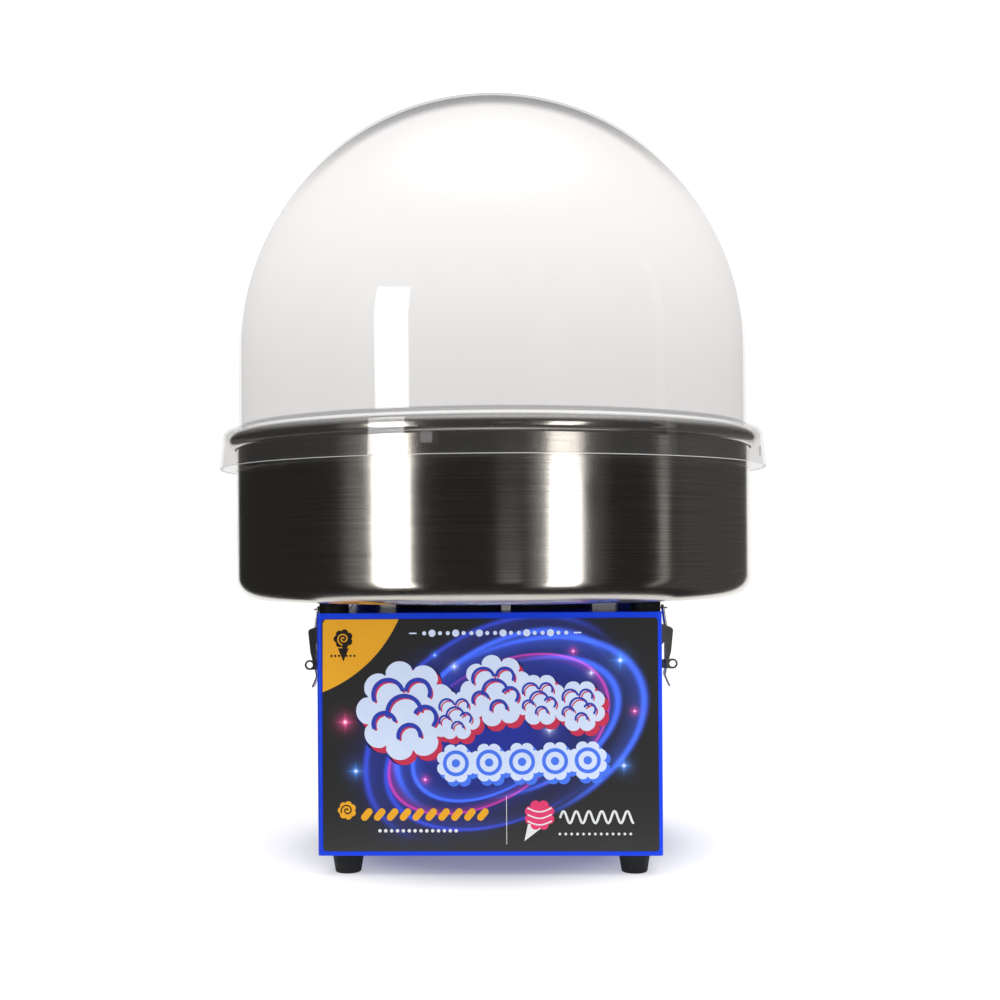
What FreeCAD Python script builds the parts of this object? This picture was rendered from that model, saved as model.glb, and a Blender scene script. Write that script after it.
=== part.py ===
import FreeCAD, Part
import math
import os
import re
import Sketcher

# Cotton candy machine: a sheet-metal cabinet holding the drive, a spun steel
# bowl that lifts off, a spinner head on the motor shaft, and a clear dome.
# Millimetres.  Origin on the floor, under the spinner's axis.  +Z is up, the
# graphic front faces -Y and the operator's panel faces +Y.

Vector = FreeCAD.Vector
document = FreeCAD.newDocument("CottonCandyMachine")
sheet = document.addObject("Spreadsheet::Sheet", "Sizes")

SIZES = {
    # cabinet
    "cabinet_width": 404, "cabinet_depth": 400, "cabinet_bottom": 24.5,
    "cabinet_top_height": 308.5, "sheet_gauge": 1.5, "corner_radius": 5,
    "tray_gap": 0.2, "tray_lip": 14, "screw_radius": 2, "rear_screw_line": 192,
    "opening_radius": 110, "seal_outer": 128, "seal_inner": 112, "seat_gap": 0.3,
    # feet and bumpers
    "foot_spacing": 170, "foot_top_radius": 19, "foot_bottom_radius": 15.5,
    "foot_bolt_radius": 3, "bumper_x": 185, "bumper_y": 172, "bumper_radius": 17.5,
    # front panel art sheet
    "art_left": 195.5, "art_right": 197, "art_bottom": 30, "art_top": 301.8,
    "art_thickness": 0.8, "art_corner": 4,
    # bowl
    "bowl_floor": 321.5, "bowl_radius": 330, "bowl_gauge": 1.5, "bowl_corner": 28,
    "bowl_hole": 105, "bead_radius": 10, "bead_height": 519.7, "collar_height": 347,
    "strap_width": 10,
    # dome
    "dome_gauge": 3.2, "dome_radius": 326, "dome_seat": 530, "dome_spring": 637,
    "skirt_bottom": 485, "skirt_radius": 350.5, "skirt_top_radius": 346,
    "flange_corner": 8,
    # latch
    "latch_y": 146.5, "latch_pivot_x": 213.6, "latch_pivot_z": 283.4,
    "bail_pivot_x": 212.6, "bail_pivot_z": 272.7, "bail_top_x": 206.9,
    "bail_wire": 1.5, "keeper_bottom": 310.5, "keeper_tip": 212.4,
    "eye_x": 218.7, "eye_z": 244, "latch_fit": 0.05,
    # drive
    "shaft_radius": 6.35, "shaft_fit": 0.05, "mount_height": 232, "post_spacing": 75,
    "motor_radius": 62, "head_radius": 80, "head_floor": 405, "head_top": 452,
    "ring_outer": 23, "ring_inner": 20,
    # operator's panel
    "control_height": 232, "power_switch_x": 125, "heat_switch_x": 70,
    "knob_x": 0, "breaker_x": -80, "inlet_x": -125, "inlet_height": 80,
    "rocker_tilt": 12, "rocker_pivot_y": 199, "knob_radius": 15,
}


def fill_sheet():
    for row, (alias, size) in enumerate(SIZES.items(), start=1):
        sheet.set(f"A{row}", alias)
        sheet.set(f"B{row}", str(size))
        sheet.setAlias(f"B{row}", alias)
    document.recompute()


WORD = re.compile(r"[a-z][a-z_]*")


def bound(text):
    """The text with each size's name pointing at its cell in the sheet."""
    return WORD.sub(lambda m: "Sizes." + m[0] if m[0] in SIZES else m[0], str(text))


def number(text):
    return float(sheet.evalExpression(str(text)))


def bind(item, name, text):
    item.setExpression(name, bound(text))


def mirrored(text, side):
    return str(text) if side > 0 else f"-({text})"


# ---------------------------------------------------------------- sketches

def new_body(label):
    owner = document.addObject("PartDesign::Body", label)
    owner.Label = label
    return owner


def sketch(owner, plane, offset="0"):
    """An empty sketch on one of the body's own planes, moved along its normal."""
    support = [face for face in owner.Origin.OriginFeatures if face.Role == plane][0]
    drawing = owner.newObject("Sketcher::SketchObject", owner.Label + "_sketch")
    drawing.AttachmentSupport = [(support, "")]
    drawing.MapMode = "FlatFace"
    drawing.AttachmentOffset = FreeCAD.Placement(Vector(0, 0, number(offset)), FreeCAD.Rotation())
    bind(drawing, "AttachmentOffset.Base.z", offset)
    return drawing


def hold(drawing, kind, text, *where):
    index = drawing.addConstraint(Sketcher.Constraint(kind, *where, number(text)))
    drawing.setExpression(f"Constraints[{index}]", bound(text))


def arc_between(start, end, radius, turn):
    """The short arc from start to end that turns left (1) or right (-1)."""
    chord = end - start
    rise = math.sqrt(max(radius ** 2 - chord.Length ** 2 / 4, 0))
    left = Vector(-chord.y, chord.x, 0).normalize()
    centre = (start + end) / 2 + left * rise * turn
    first, last = (start, end) if turn > 0 else (end, start)
    angles = [math.atan2(p.y - centre.y, p.x - centre.x) for p in (first, last)]
    if angles[1] < angles[0]:
        angles[1] += 2 * math.pi
    return Part.ArcOfCircle(Part.Circle(centre, Vector(0, 0, 1), radius), *angles)


def outline(drawing, corners, closed=True):
    """Lines and arcs through the corners, each corner held by the sheet.

    A corner is (x, y), reached by a straight line, or (x, y, radius, turn),
    reached by an arc.
    """
    base = drawing.GeometryCount
    places = [Vector(number(c[0]), number(c[1]), 0) for c in corners]
    count = len(corners) if closed else len(corners) - 1
    ends = []
    for i in range(count):
        start, end = places[i], places[(i + 1) % len(corners)]
        target = corners[(i + 1) % len(corners)]
        if len(target) == 2:
            drawing.addGeometry(Part.LineSegment(start, end), False)
            ends.append((1, 2))
        else:
            drawing.addGeometry(arc_between(start, end, number(target[2]), target[3]), False)
            hold(drawing, "Radius", target[2], base + i)
            ends.append((1, 2) if target[3] > 0 else (2, 1))
    for i in range(count):
        hold(drawing, "DistanceX", corners[i][0], -1, 1, base + i, ends[i][0])
        hold(drawing, "DistanceY", corners[i][1], -1, 1, base + i, ends[i][0])
    for i in range(count if closed else count - 1):
        j = (i + 1) % count
        drawing.addConstraint(
            Sketcher.Constraint("Coincident", base + i, ends[i][1], base + j, ends[j][0]))
    if not closed:
        hold(drawing, "DistanceX", corners[-1][0], -1, 1, base + count - 1, ends[-1][1])
        hold(drawing, "DistanceY", corners[-1][1], -1, 1, base + count - 1, ends[-1][1])


def circle(drawing, x, y, radius):
    centre = Vector(number(x), number(y), 0)
    index = drawing.addGeometry(Part.Circle(centre, Vector(0, 0, 1), number(radius)), False)
    hold(drawing, "Radius", radius, index)
    hold(drawing, "DistanceX", x, -1, 1, index, 3)
    hold(drawing, "DistanceY", y, -1, 1, index, 3)


def rectangle(drawing, left, right, low, high, radius=None):
    if radius is None:
        outline(drawing, [(left, low), (right, low), (right, high), (left, high)])
        return
    outline(drawing, [
        (f"{left} + {radius}", low, radius, 1), (f"{right} - {radius}", low),
        (right, f"{low} + {radius}", radius, 1), (right, f"{high} - {radius}"),
        (f"{right} - {radius}", high, radius, 1), (f"{left} + {radius}", high),
        (left, f"{high} - {radius}", radius, 1), (left, f"{low} + {radius}")])


def pad(owner, drawing, length, symmetric=False, backwards=False):
    feature = owner.newObject("PartDesign::Pad", owner.Label + "_pad")
    feature.Profile = drawing
    feature.SideType = "Symmetric" if symmetric else "One side"
    feature.Reversed = backwards
    bind(feature, "Length", length)
    document.recompute()
    return feature


def pocket(owner, drawing, depth=None, backwards=False):
    """Cuts right through both ways, or to a depth; it has to remove metal."""
    before = owner.Shape.Volume
    feature = owner.newObject("PartDesign::Pocket", owner.Label + "_pocket")
    feature.Profile = drawing
    feature.Reversed = backwards
    if depth is None:
        feature.Type = "ThroughAll"
        feature.SideType = "Symmetric"
    else:
        bind(feature, "Length", depth)
    document.recompute()
    if feature.Shape.Volume > before - 1e-3:
        raise ValueError(f"{owner.Label}: a pocket cut nothing")
    return feature


def turned(label, corners):
    """A body turned about Z from its half outline in the XZ plane."""
    owner = new_body(label)
    drawing = sketch(owner, "XZ_Plane")
    outline(drawing, corners)
    feature = owner.newObject("PartDesign::Revolution", label + "_turn")
    feature.Profile = drawing
    feature.ReferenceAxis = (drawing, ["V_Axis"])
    feature.Angle = 360
    document.recompute()
    return owner


def own_axis(owner, role):
    axis = [line for line in owner.Origin.OriginFeatures if line.Role == role][0]
    return (axis, [""])


def repeat_about_z(owner, feature, count, span=360):
    """Repeats a body's last feature evenly about Z."""
    pattern = owner.newObject("PartDesign::PolarPattern", owner.Label + "_pattern")
    pattern.Originals = [feature]
    pattern.Axis = own_axis(owner, "Z_Axis")
    pattern.Angle = span
    pattern.Occurrences = count
    owner.Tip = pattern
    document.recompute()


def repeat_along(owner, feature, role, length, count):
    """Repeats a body's last feature evenly along one of its own axes."""
    pattern = owner.newObject("PartDesign::LinearPattern", owner.Label + "_pattern")
    pattern.Originals = [feature]
    pattern.Direction = own_axis(owner, role)
    pattern.Length = length
    pattern.Occurrences = count
    owner.Tip = pattern
    document.recompute()


def slots_about_z(owner, half_width, low, high, count):
    """Cuts slots right across a ring, each cut making two opposite slots."""
    drawing = sketch(owner, "XZ_Plane")
    rectangle(drawing, f"-{half_width}", half_width, low, high)
    slot = pocket(owner, drawing)
    pairs = count // 2
    repeat_about_z(owner, slot, pairs, 180 - 180 / pairs)


# -------------------------------------------------------------- primitives

TURN = {"+X": (Vector(0, 1, 0), 90), "-X": (Vector(0, 1, 0), -90), "+Y": (Vector(1, 0, 0), -90),
        "-Y": (Vector(1, 0, 0), 90), "+Z": (Vector(0, 0, 1), 0)}


def put(item, x, y, z, direction="+Z"):
    axis, angle = TURN[direction]
    place = Vector(number(x), number(y), number(z))
    item.Placement = FreeCAD.Placement(place, FreeCAD.Rotation(axis, angle))
    for name, text in (("x", x), ("y", y), ("z", z)):
        bind(item, "Placement.Base." + name, text)
    return item


def rod(radius, length, x="0", y="0", z="0", direction="+Z", label="rod"):
    item = document.addObject("Part::Cylinder", label)
    item.Label = label
    bind(item, "Radius", radius)
    bind(item, "Height", length)
    return put(item, x, y, z, direction)


def block(x0, x1, y0, y1, z0, z1, label="block"):
    item = document.addObject("Part::Box", label)
    item.Label = label
    bind(item, "Length", f"{x1} - ({x0})")
    bind(item, "Width", f"{y1} - ({y0})")
    bind(item, "Height", f"{z1} - ({z0})")
    return put(item, x0, y0, z0)


def joined(label, *shapes):
    item = document.addObject("Part::MultiFuse", label)
    item.Label = label
    item.Shapes = list(shapes)
    return item


def less(label, base, *tools):
    """The base with the tools cut out of it."""
    tool = tools[0] if len(tools) == 1 else joined(label + "_tools", *tools)
    item = document.addObject("Part::Cut", label)
    item.Label = label
    item.Base = base
    item.Tool = tool
    document.recompute()
    return item


def copies(label, master, places):
    """One node of several equal solids: places are (x, y, z, angle about Z)."""
    links = []
    for x, y, z, angle in places:
        link = document.addObject("App::Link", label + "_copy")
        link.LinkedObject = master
        place = Vector(number(x), number(y), number(z))
        turn = FreeCAD.Rotation(Vector(0, 0, 1), angle).multiply(master.Placement.Rotation)
        link.Placement = FreeCAD.Placement(place, turn)
        for name, text in (("x", x), ("y", y), ("z", z)):
            bind(link, "Placement.Base." + name, text)
        links.append(link)
    return together(label, *links)


def together(label, *items):
    group = document.addObject("Part::Compound", label)
    group.Label = label
    group.Links = list(items)
    return group


# ------------------------------------------------------------------ cabinet

HALF_X = "cabinet_width / 2"
HALF_Y = "cabinet_depth / 2"
SIDES = (1, -1)

# Screws through the side walls: (y, z), into the rear panel's flanges, the
# base tray's lip and the top tray's lip.
SIDE_SCREWS = [("rear_screw_line", z) for z in ("60", "166", "272")]
SIDE_SCREWS += [(y, "cabinet_bottom + 8") for y in ("-100", "100")]
SIDE_SCREWS += [(y, "cabinet_top_height - 8") for y in ("-60", "100")]

# Rivets of one latch base: (offset from the latch's middle, z).
LATCH_RIVETS = [(dy, z) for dy in ("-11.5", "11.5") for z in ("232", "262")]


def make_cabinet_shell():
    """The front and both sides, folded from one sheet."""
    shell = new_body("cabinet_shell")
    wrap = sketch(shell, "XY_Plane", "cabinet_bottom")
    back = f"{HALF_Y} - sheet_gauge"
    bend_x, bend_y = f"{HALF_X} - corner_radius", f"-({HALF_Y}) + corner_radius"
    inner_x = f"{HALF_X} - sheet_gauge"
    inner_y = f"-({HALF_Y}) + sheet_gauge"
    inner_radius = "corner_radius - sheet_gauge"
    outline(wrap, [
        (f"-({HALF_X})", back), (f"-({HALF_X})", bend_y),
        (f"-({bend_x})", f"-({HALF_Y})", "corner_radius", 1), (bend_x, f"-({HALF_Y})"),
        (HALF_X, bend_y, "corner_radius", 1), (HALF_X, back),
        (inner_x, back), (inner_x, bend_y),
        (bend_x, inner_y, inner_radius, -1), (f"-({bend_x})", inner_y),
        (f"-({inner_x})", bend_y, inner_radius, -1), (f"-({inner_x})", back)])
    pad(shell, wrap, "cabinet_top_height - cabinet_bottom")
    holes = sketch(shell, "YZ_Plane")
    for y, z in SIDE_SCREWS:
        circle(holes, y, z, "screw_radius + latch_fit")
    for dy, z in LATCH_RIVETS:
        circle(holes, f"{dy} - latch_y", z, "screw_radius + latch_fit")
    pocket(shell, holes)
    return [shell]


def make_tray(label, floor, lip_up):
    """A folded tray that fits inside the cabinet's walls."""
    tray = new_body(label)
    edge_x = f"{HALF_X} - sheet_gauge - tray_gap"
    edge_y = f"{HALF_Y} - sheet_gauge - tray_gap"
    low = floor if lip_up else f"{floor} - tray_lip"
    plan = sketch(tray, "XY_Plane", low)
    rectangle(plan, f"-({edge_x})", edge_x, f"-({edge_y})", edge_y, "4")
    pad(tray, plan, "tray_lip")
    hollow_floor = f"{low} + sheet_gauge" if lip_up else f"{low} + tray_lip - sheet_gauge"
    hollow = sketch(tray, "XY_Plane", hollow_floor)
    rectangle(hollow, f"-({edge_x} - sheet_gauge)", f"{edge_x} - sheet_gauge",
              f"-({edge_y} - sheet_gauge)", f"{edge_y} - sheet_gauge", "2.5")
    pocket(tray, hollow, "tray_lip", backwards=lip_up)
    return tray


def side_holes(owner, screws):
    holes = sketch(owner, "YZ_Plane")
    for y, z in screws:
        circle(holes, y, z, "screw_radius + latch_fit")
    pocket(owner, holes)


def make_trays():
    base = make_tray("base_plate", "cabinet_bottom", lip_up=True)
    side_holes(base, SIDE_SCREWS[3:5])
    openings = sketch(base, "XY_Plane")
    for x in SIDES:
        for y in SIDES:
            circle(openings, f"{x} * foot_spacing", f"{y} * foot_spacing", "foot_bolt_radius + 0.1")
    pocket(base, openings)
    vent = sketch(base, "XY_Plane")
    rectangle(vent, "-63", "-57", "-45", "45", "2.9")
    repeat_along(base, pocket(base, vent), "X_Axis", 120, 6)
    top = make_tray("cabinet_top", "cabinet_top_height", lip_up=False)
    side_holes(top, SIDE_SCREWS[5:7])
    opening = sketch(top, "XY_Plane")
    circle(opening, "0", "0", "opening_radius")
    pocket(top, opening)
    return [base, top]


SWITCHES = ("power_switch_x", "heat_switch_x")


def make_rear_panel():
    """The operator's panel, with flanges folded forward inside the sides."""
    panel = new_body("rear_panel")
    face = sketch(panel, "XZ_Plane", f"-({HALF_Y})")
    rectangle(face, f"-({HALF_X})", HALF_X, "cabinet_bottom", "cabinet_top_height", "2")
    pad(panel, face, "sheet_gauge")
    flange_x = f"{HALF_X} - sheet_gauge - tray_gap"
    for side in SIDES:
        flange = sketch(panel, "XY_Plane", "cabinet_bottom + 20")
        outline(flange, [
            (mirrored(flange_x, side), f"{HALF_Y} - 1"),
            (mirrored(f"{flange_x} - sheet_gauge", side), f"{HALF_Y} - 1"),
            (mirrored(f"{flange_x} - sheet_gauge", side), f"{HALF_Y} - 14"),
            (mirrored(flange_x, side), f"{HALF_Y} - 14")])
        pad(panel, flange, "cabinet_top_height - cabinet_bottom - 40")
    side_holes(panel, SIDE_SCREWS[:3])
    cuts = sketch(panel, "XZ_Plane")
    for x in SWITCHES:
        rectangle(cuts, f"{x} - 9.1", f"{x} + 9.1", "control_height - 12.1", "control_height + 12.1")
    circle(cuts, "knob_x", "control_height", "5.1")
    circle(cuts, "breaker_x", "control_height", "5.6")
    rectangle(cuts, "inlet_x - 14", "inlet_x + 14", "inlet_height - 10.2", "inlet_height + 10.2")
    for x in ("-20", "20"):
        circle(cuts, f"inlet_x + {x}", "inlet_height", "1.65")
    pocket(panel, cuts)
    vents = sketch(panel, "XZ_Plane")
    for column in ("-38", "38"):
        rectangle(vents, f"{column} - 30", f"{column} + 30", "88", "92", "1.9")
    repeat_along(panel, pocket(panel, vents), "Z_Axis", 60, 6)
    return [panel]


def make_front_art():
    art = new_body("front_graphic_panel")
    face = sketch(art, "XZ_Plane", HALF_Y)
    rectangle(face, "-art_left", "art_right", "art_bottom", "art_top", "art_corner")
    pad(art, face, "art_thickness")
    return [art]


def make_case_screws():
    """Pan-head screws through the side walls, heads outside."""
    head = rod("4", "1.9", label="screw_head")
    shank = rod("screw_radius", "9", z="-9", label="screw_shank")
    master = joined("side_screw", head, shank)
    document.recompute()
    links = []
    for side in SIDES:
        for y, z in SIDE_SCREWS:
            link = document.addObject("App::Link", "case_screw")
            link.LinkedObject = master
            put(link, mirrored(HALF_X, side), y, z, "+X" if side > 0 else "-X")
            links.append(link)
    return [together("case_screws", *links)]


def make_feet():
    foot = turned("foot_profile", [
        ("foot_bolt_radius + 0.1", "cabinet_bottom"), ("foot_bolt_radius + 0.1", "9"),
        ("7", "9"), ("7", "0"), ("foot_bottom_radius - 2", "0"),
        ("foot_bottom_radius", "2", "2", 1), ("foot_top_radius", "cabinet_bottom - 1"),
        ("foot_top_radius - 1", "cabinet_bottom")])
    corners = [(f"{x} * foot_spacing", f"{y} * foot_spacing", "0", 0) for x in SIDES for y in SIDES]
    bolt = joined("foot_bolt", rod("5.5", "4", z="5"), rod("foot_bolt_radius", "26", z="9"))
    return [copies("feet", foot, corners), copies("foot_bolts", bolt, corners)]


def make_bumpers():
    bumper = turned("bumper_profile", [
        ("0", "cabinet_top_height"), ("bumper_radius", "cabinet_top_height"),
        ("bumper_radius", "bowl_floor - seat_gap - 1.5"),
        ("bumper_radius - 1.5", "bowl_floor - seat_gap", "1.5", 1),
        ("0", "bowl_floor - seat_gap")])
    corners = [(f"{x} * bumper_x", f"{y} * bumper_y", "0", 0) for x in SIDES for y in SIDES]
    seal = turned("opening_seal", [
        ("seal_inner", "cabinet_top_height"), ("seal_outer", "cabinet_top_height"),
        ("seal_outer", "bowl_floor - seat_gap - 2"),
        ("seal_outer - 2", "bowl_floor - seat_gap", "2", 1),
        ("seal_inner", "bowl_floor - seat_gap")])
    lug = new_body("locating_block")
    plan = sketch(lug, "XY_Plane", "cabinet_top_height")
    rectangle(plan, "13", "24.5", "-seal_outer - 9", "-seal_outer - 2", "1")
    pad(lug, plan, "bowl_floor - cabinet_top_height - 1")
    return [copies("top_bumpers", bumper, corners), seal, lug]


# ------------------------------------------------------------------ latches

def make_latch_base(side):
    """A plate with two ears for the lever and an eye for a padlock."""
    base = new_body("latch_base_plate")
    wall = HALF_X
    plate = sketch(base, "XZ_Plane", "latch_y")
    outline(plate, [(mirrored(wall, side), "224"), (mirrored(f"{wall} + 1.5", side), "224"),
                    (mirrored(f"{wall} + 1.5", side), "294"), (mirrored(wall, side), "294")])
    pad(base, plate, "30", symmetric=True)
    ears = sketch(base, "XZ_Plane", "latch_y")
    outline(ears, [(mirrored(f"{wall} + 1", side), "292.5"), (mirrored(f"{wall} + 1", side), "268"),
                   (mirrored(f"{wall} + 3", side), "268"), (mirrored(f"{wall} + 14.6", side), "278"),
                   (mirrored(f"{wall} + 15.4", side), "282"), (mirrored(f"{wall} + 14", side), "288")])
    pad(base, ears, "25", symmetric=True)
    gap = sketch(base, "XZ_Plane", "latch_y")
    rectangle(gap, *sorted([mirrored(f"{wall} + 1.5", side), mirrored(f"{wall} + 20", side)],
                           key=number), "264", "296")
    slot = base.newObject("PartDesign::Pocket", "latch_base_gap")
    slot.Profile = gap
    slot.SideType = "Symmetric"
    bind(slot, "Length", "22")
    document.recompute()
    eye = sketch(base, "XZ_Plane", "latch_y")
    outline(eye, [(mirrored(f"{wall} + 1", side), "239"), (mirrored("eye_x", side), "eye_z - 6"),
                  (mirrored("eye_x + 6", side), "eye_z", "6", side),
                  (mirrored("eye_x", side), "eye_z + 6", "6", side),
                  (mirrored(f"{wall} + 1", side), "249")])
    pad(base, eye, "2", symmetric=True)
    holes = sketch(base, "XZ_Plane")
    circle(holes, mirrored("eye_x", side), "eye_z", "3.85")
    circle(holes, mirrored("latch_pivot_x", side), "latch_pivot_z", "bail_wire")
    pocket(base, holes)
    rivets = sketch(base, "YZ_Plane")
    for dy, z in LATCH_RIVETS:
        circle(rivets, f"{dy} - latch_y", z, "screw_radius + latch_fit")
    pocket(base, rivets)
    return base


def make_latch_lever(side):
    """A pressed handle: side ears for the two pivots, then a bent grip."""
    label = "latch_lever_right" if side > 0 else "latch_lever_left"
    lever = new_body(label)

    def along(points):
        return [(mirrored(x, side), z) for x, z in points]

    ears = sketch(lever, "XZ_Plane", "latch_y")
    outline(ears, along([("210.6", "287.4"), ("216.8", "288"), ("218.7", "285"), ("216.2", "260"),
                         ("211.4", "243"), ("209.6", "243"), ("209.4", "268"), ("209.6", "278")]))
    pad(lever, ears, "21.4", symmetric=True)
    between = sketch(lever, "XZ_Plane", "latch_y")
    rectangle(between, *sorted([mirrored("200", side), mirrored("230", side)], key=number),
              "240", "292")
    opened = lever.newObject("PartDesign::Pocket", label + "_between")
    opened.Profile = between
    opened.SideType = "Symmetric"
    bind(opened, "Length", "18.4")
    document.recompute()
    grip = sketch(lever, "XZ_Plane", "latch_y")
    outline(grip, along([("214.9", "259"), ("216", "259"), ("211.3", "241"), ("209.6", "232"),
                         ("210.2", "229"), ("214.9", "218.4"), ("213.6", "217.6"), ("208.7", "228.6"),
                         ("208", "232"), ("209.8", "241")]))
    pad(lever, grip, "21.4", symmetric=True)
    slot = sketch(lever, "YZ_Plane")
    rectangle(slot, "-latch_y - 2.2", "-latch_y + 2.2", "234", "254.5", "1.5")
    pocket(lever, slot)
    holes = sketch(lever, "XZ_Plane")
    circle(holes, mirrored("latch_pivot_x", side), "latch_pivot_z", "bail_wire + latch_fit")
    circle(holes, mirrored("bail_pivot_x", side), "bail_pivot_z", "bail_wire + latch_fit")
    pocket(lever, holes)
    return lever


BAIL_TOP = "keeper_bottom + 1.5 + bail_wire + 0.35"


def make_latch_bail(side):
    """A bent wire: two turned-out ends in the lever's ears, two legs and a
    cross bar that hooks over the keeper under the bowl."""
    label = "latch_bail_right" if side > 0 else "latch_bail_left"
    bail = new_body(label)
    rise = number(f"{BAIL_TOP} - bail_pivot_z")
    lean = number("bail_pivot_x - bail_top_x")
    length = math.hypot(rise, lean)
    leg, stub, bend = 7.2, 10.7, 2.0
    path = sketch(bail, "YZ_Plane")
    outline(path, [
        (-stub, 0), (-leg - bend, 0), (-leg, bend, bend, 1), (-leg, length - bend),
        (-leg + bend, length, bend, -1), (leg - bend, length), (leg, length - bend, bend, -1),
        (leg, bend), (leg + bend, 0, bend, 1), (stub, 0)], closed=False)
    wire = sketch(bail, "XZ_Plane", stub)
    circle(wire, "0", "0", "bail_wire")
    pipe = bail.newObject("PartDesign::AdditivePipe", label + "_pipe")
    pipe.Profile = wire
    pipe.Spine = path
    document.recompute()
    tilt = -side * math.degrees(math.atan2(lean, rise))
    put(bail, mirrored("bail_pivot_x", side), "-latch_y", "bail_pivot_z")
    bail.Placement.Rotation = FreeCAD.Rotation(Vector(0, 1, 0), tilt)
    return bail


def make_latches():
    bases = []
    rivets = []
    pins = []
    head = rod("3.4", "1.4", label="rivet_head")
    shank = rod("screw_radius", "5", z="-4.5", label="rivet_shank")
    rivet = joined("latch_rivet", head, shank)
    for side in SIDES:
        bases.append(make_latch_base(side))
        for dy, z in LATCH_RIVETS:
            link = document.addObject("App::Link", "rivet_copy")
            link.LinkedObject = rivet
            put(link, mirrored(f"{HALF_X} + 1.5", side), f"{dy} - latch_y", z,
                "+X" if side > 0 else "-X")
            rivets.append(link)
        for end in SIDES:
            start = "-latch_y + 9" if end > 0 else "-latch_y - 13.1"
            pins.append(rod("bail_wire", "4.1", mirrored("latch_pivot_x", side), start,
                            "latch_pivot_z", "+Y", "latch_pin"))
    nodes = [together("latch_bases", *bases), together("latch_rivets", *rivets)]
    nodes.append(together("latch_pivot_pins", *pins))
    nodes += [make_latch_lever(side) for side in SIDES]
    nodes += [make_latch_bail(side) for side in SIDES]
    return nodes


# -------------------------------------------------------------------- drive

def ring(label, inner, outer, low, high):
    return turned(label, [(inner, low), (outer, low), (outer, high), (inner, high)])


POSTS = [(f"{x} * post_spacing", f"{y} * post_spacing") for x in SIDES for y in SIDES]
MOTOR_SCREWS = [(f"{x} * 35", f"{y} * 35") for x in SIDES for y in SIDES]


def make_motor():
    """The motor hangs under a plate on four posts with rubber isolators."""
    plate = new_body("motor_mount_plate")
    plan = sketch(plate, "XY_Plane", "mount_height")
    rectangle(plan, "-95", "95", "-95", "95", "15")
    pad(plate, plan, "4")
    holes = sketch(plate, "XY_Plane")
    circle(holes, "0", "0", "18")
    for x, y in POSTS + MOTOR_SCREWS:
        circle(holes, x, y, "3.1")
    pocket(plate, holes)
    post = less("motor_post", rod("8", "mount_height - 10 - cabinet_bottom - sheet_gauge",
                                  z="cabinet_bottom + sheet_gauge"),
                rod("3.05", "30", z="mount_height - 30"))
    isolator = ring("isolator", "3.1", "12", "mount_height - 10", "mount_height")
    post_places = [(x, y, "0", 0) for x, y in POSTS]
    screw = joined("mount_screw", rod("5.5", "4", z="mount_height + 4"),
                   rod("3", "26", z="mount_height - 22"))
    screw_places = [(x, y, "0", 0) for x, y in POSTS + MOTOR_SCREWS]
    bells = []
    for name, low in (("upper", "mount_height - 20"), ("lower", "mount_height - 120")):
        bell = ring(f"end_bell_{name}", "17.5", "motor_radius + 2", low, f"{low} + 20")
        tapped = sketch(bell, "XY_Plane")
        for x, y in MOTOR_SCREWS:
            circle(tapped, x, y, "3.05")
        pocket(bell, tapped)
        bells.append(bell)
    can = ring("motor_can", "motor_radius - 3", "motor_radius", "mount_height - 100",
               "mount_height - 20")
    stator = ring("motor_stator", "38", "motor_radius - 3", "mount_height - 92",
                  "mount_height - 30")
    bearing = ring("bearing", "shaft_radius + shaft_fit", "17.5", "0", "14")
    bearings = copies("motor_bearings", bearing,
                      [("0", "0", "mount_height - 17", 0), ("0", "0", "mount_height - 117", 0)])
    return [plate, copies("motor_posts", post, post_places),
            copies("isolators", isolator, post_places),
            copies("mount_screws", screw, screw_places),
            together("motor_end_bells", *bells), can, stator, bearings]


def make_brushes():
    """Two carbon brushes that feed the slip rings, in one holder."""
    holder = less(
        "brush_holder",
        block("32", "62", "-14", "14", "mount_height + 4", "mount_height + 64"),
        rod("4", "40", "30", "0", "mount_height + 20", "+X"),
        rod("4", "40", "30", "0", "mount_height + 46", "+X"))
    heights = ("mount_height + 20", "mount_height + 46")
    brush = rod("3.95", "22", direction="+X", label="brush")
    links = []
    springs = []
    for height in heights:
        link = document.addObject("App::Link", "brush_copy")
        link.LinkedObject = brush
        links.append(put(link, "ring_outer + 0.3", "0", height, "+X"))
        spring = document.addObject("Part::Feature", "brush_spring")
        spring.Shape = spring_shape(3.0, 0.4, 12.0, 6)
        springs.append(put(spring, "ring_outer + 0.3 + 22.2 + 0.4", "0", height, "+X"))
    return [holder, together("carbon_brushes", *links), together("brush_springs", *springs)]


def spring_shape(radius, wire, length, turns):
    """A round-wire coil spring along Z, starting at its own origin."""
    helix = Part.makeHelix(length / turns, length, radius)
    section = Part.Wire(Part.makeCircle(wire, Vector(radius, 0, 0), Vector(0, 1, 0)))
    return Part.Wire(helix.Edges).makePipeShell([section], True, True)


def make_controls_inside():
    board = block("-150", "-147.6", "-90", "60", "60", "160", "heat_control_board")
    floor = "cabinet_bottom + sheet_gauge"
    fins = [block("-147.6", "-118", f"{-84 + 14 * i}", f"{-80 + 14 * i}", "60", "150")
            for i in range(5)]
    sink = joined("triac_heat_sink", block("-147.6", "-143.6", "-84", "-24", floor, "150"),
                  block("-168", "-143.6", "-84", "-24", floor, f"{floor} + 3"), *fins)
    wells = [rod("3.2", "14", "131", f"{-50 + 16 * i}", f"{floor} + 12") for i in range(6)]
    strip = less("terminal_block", block("120", "142", "-60", "40", floor, f"{floor} + 24"), *wells)
    return [board, sink, strip]


# ------------------------------------------------------------------ spinner

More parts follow.
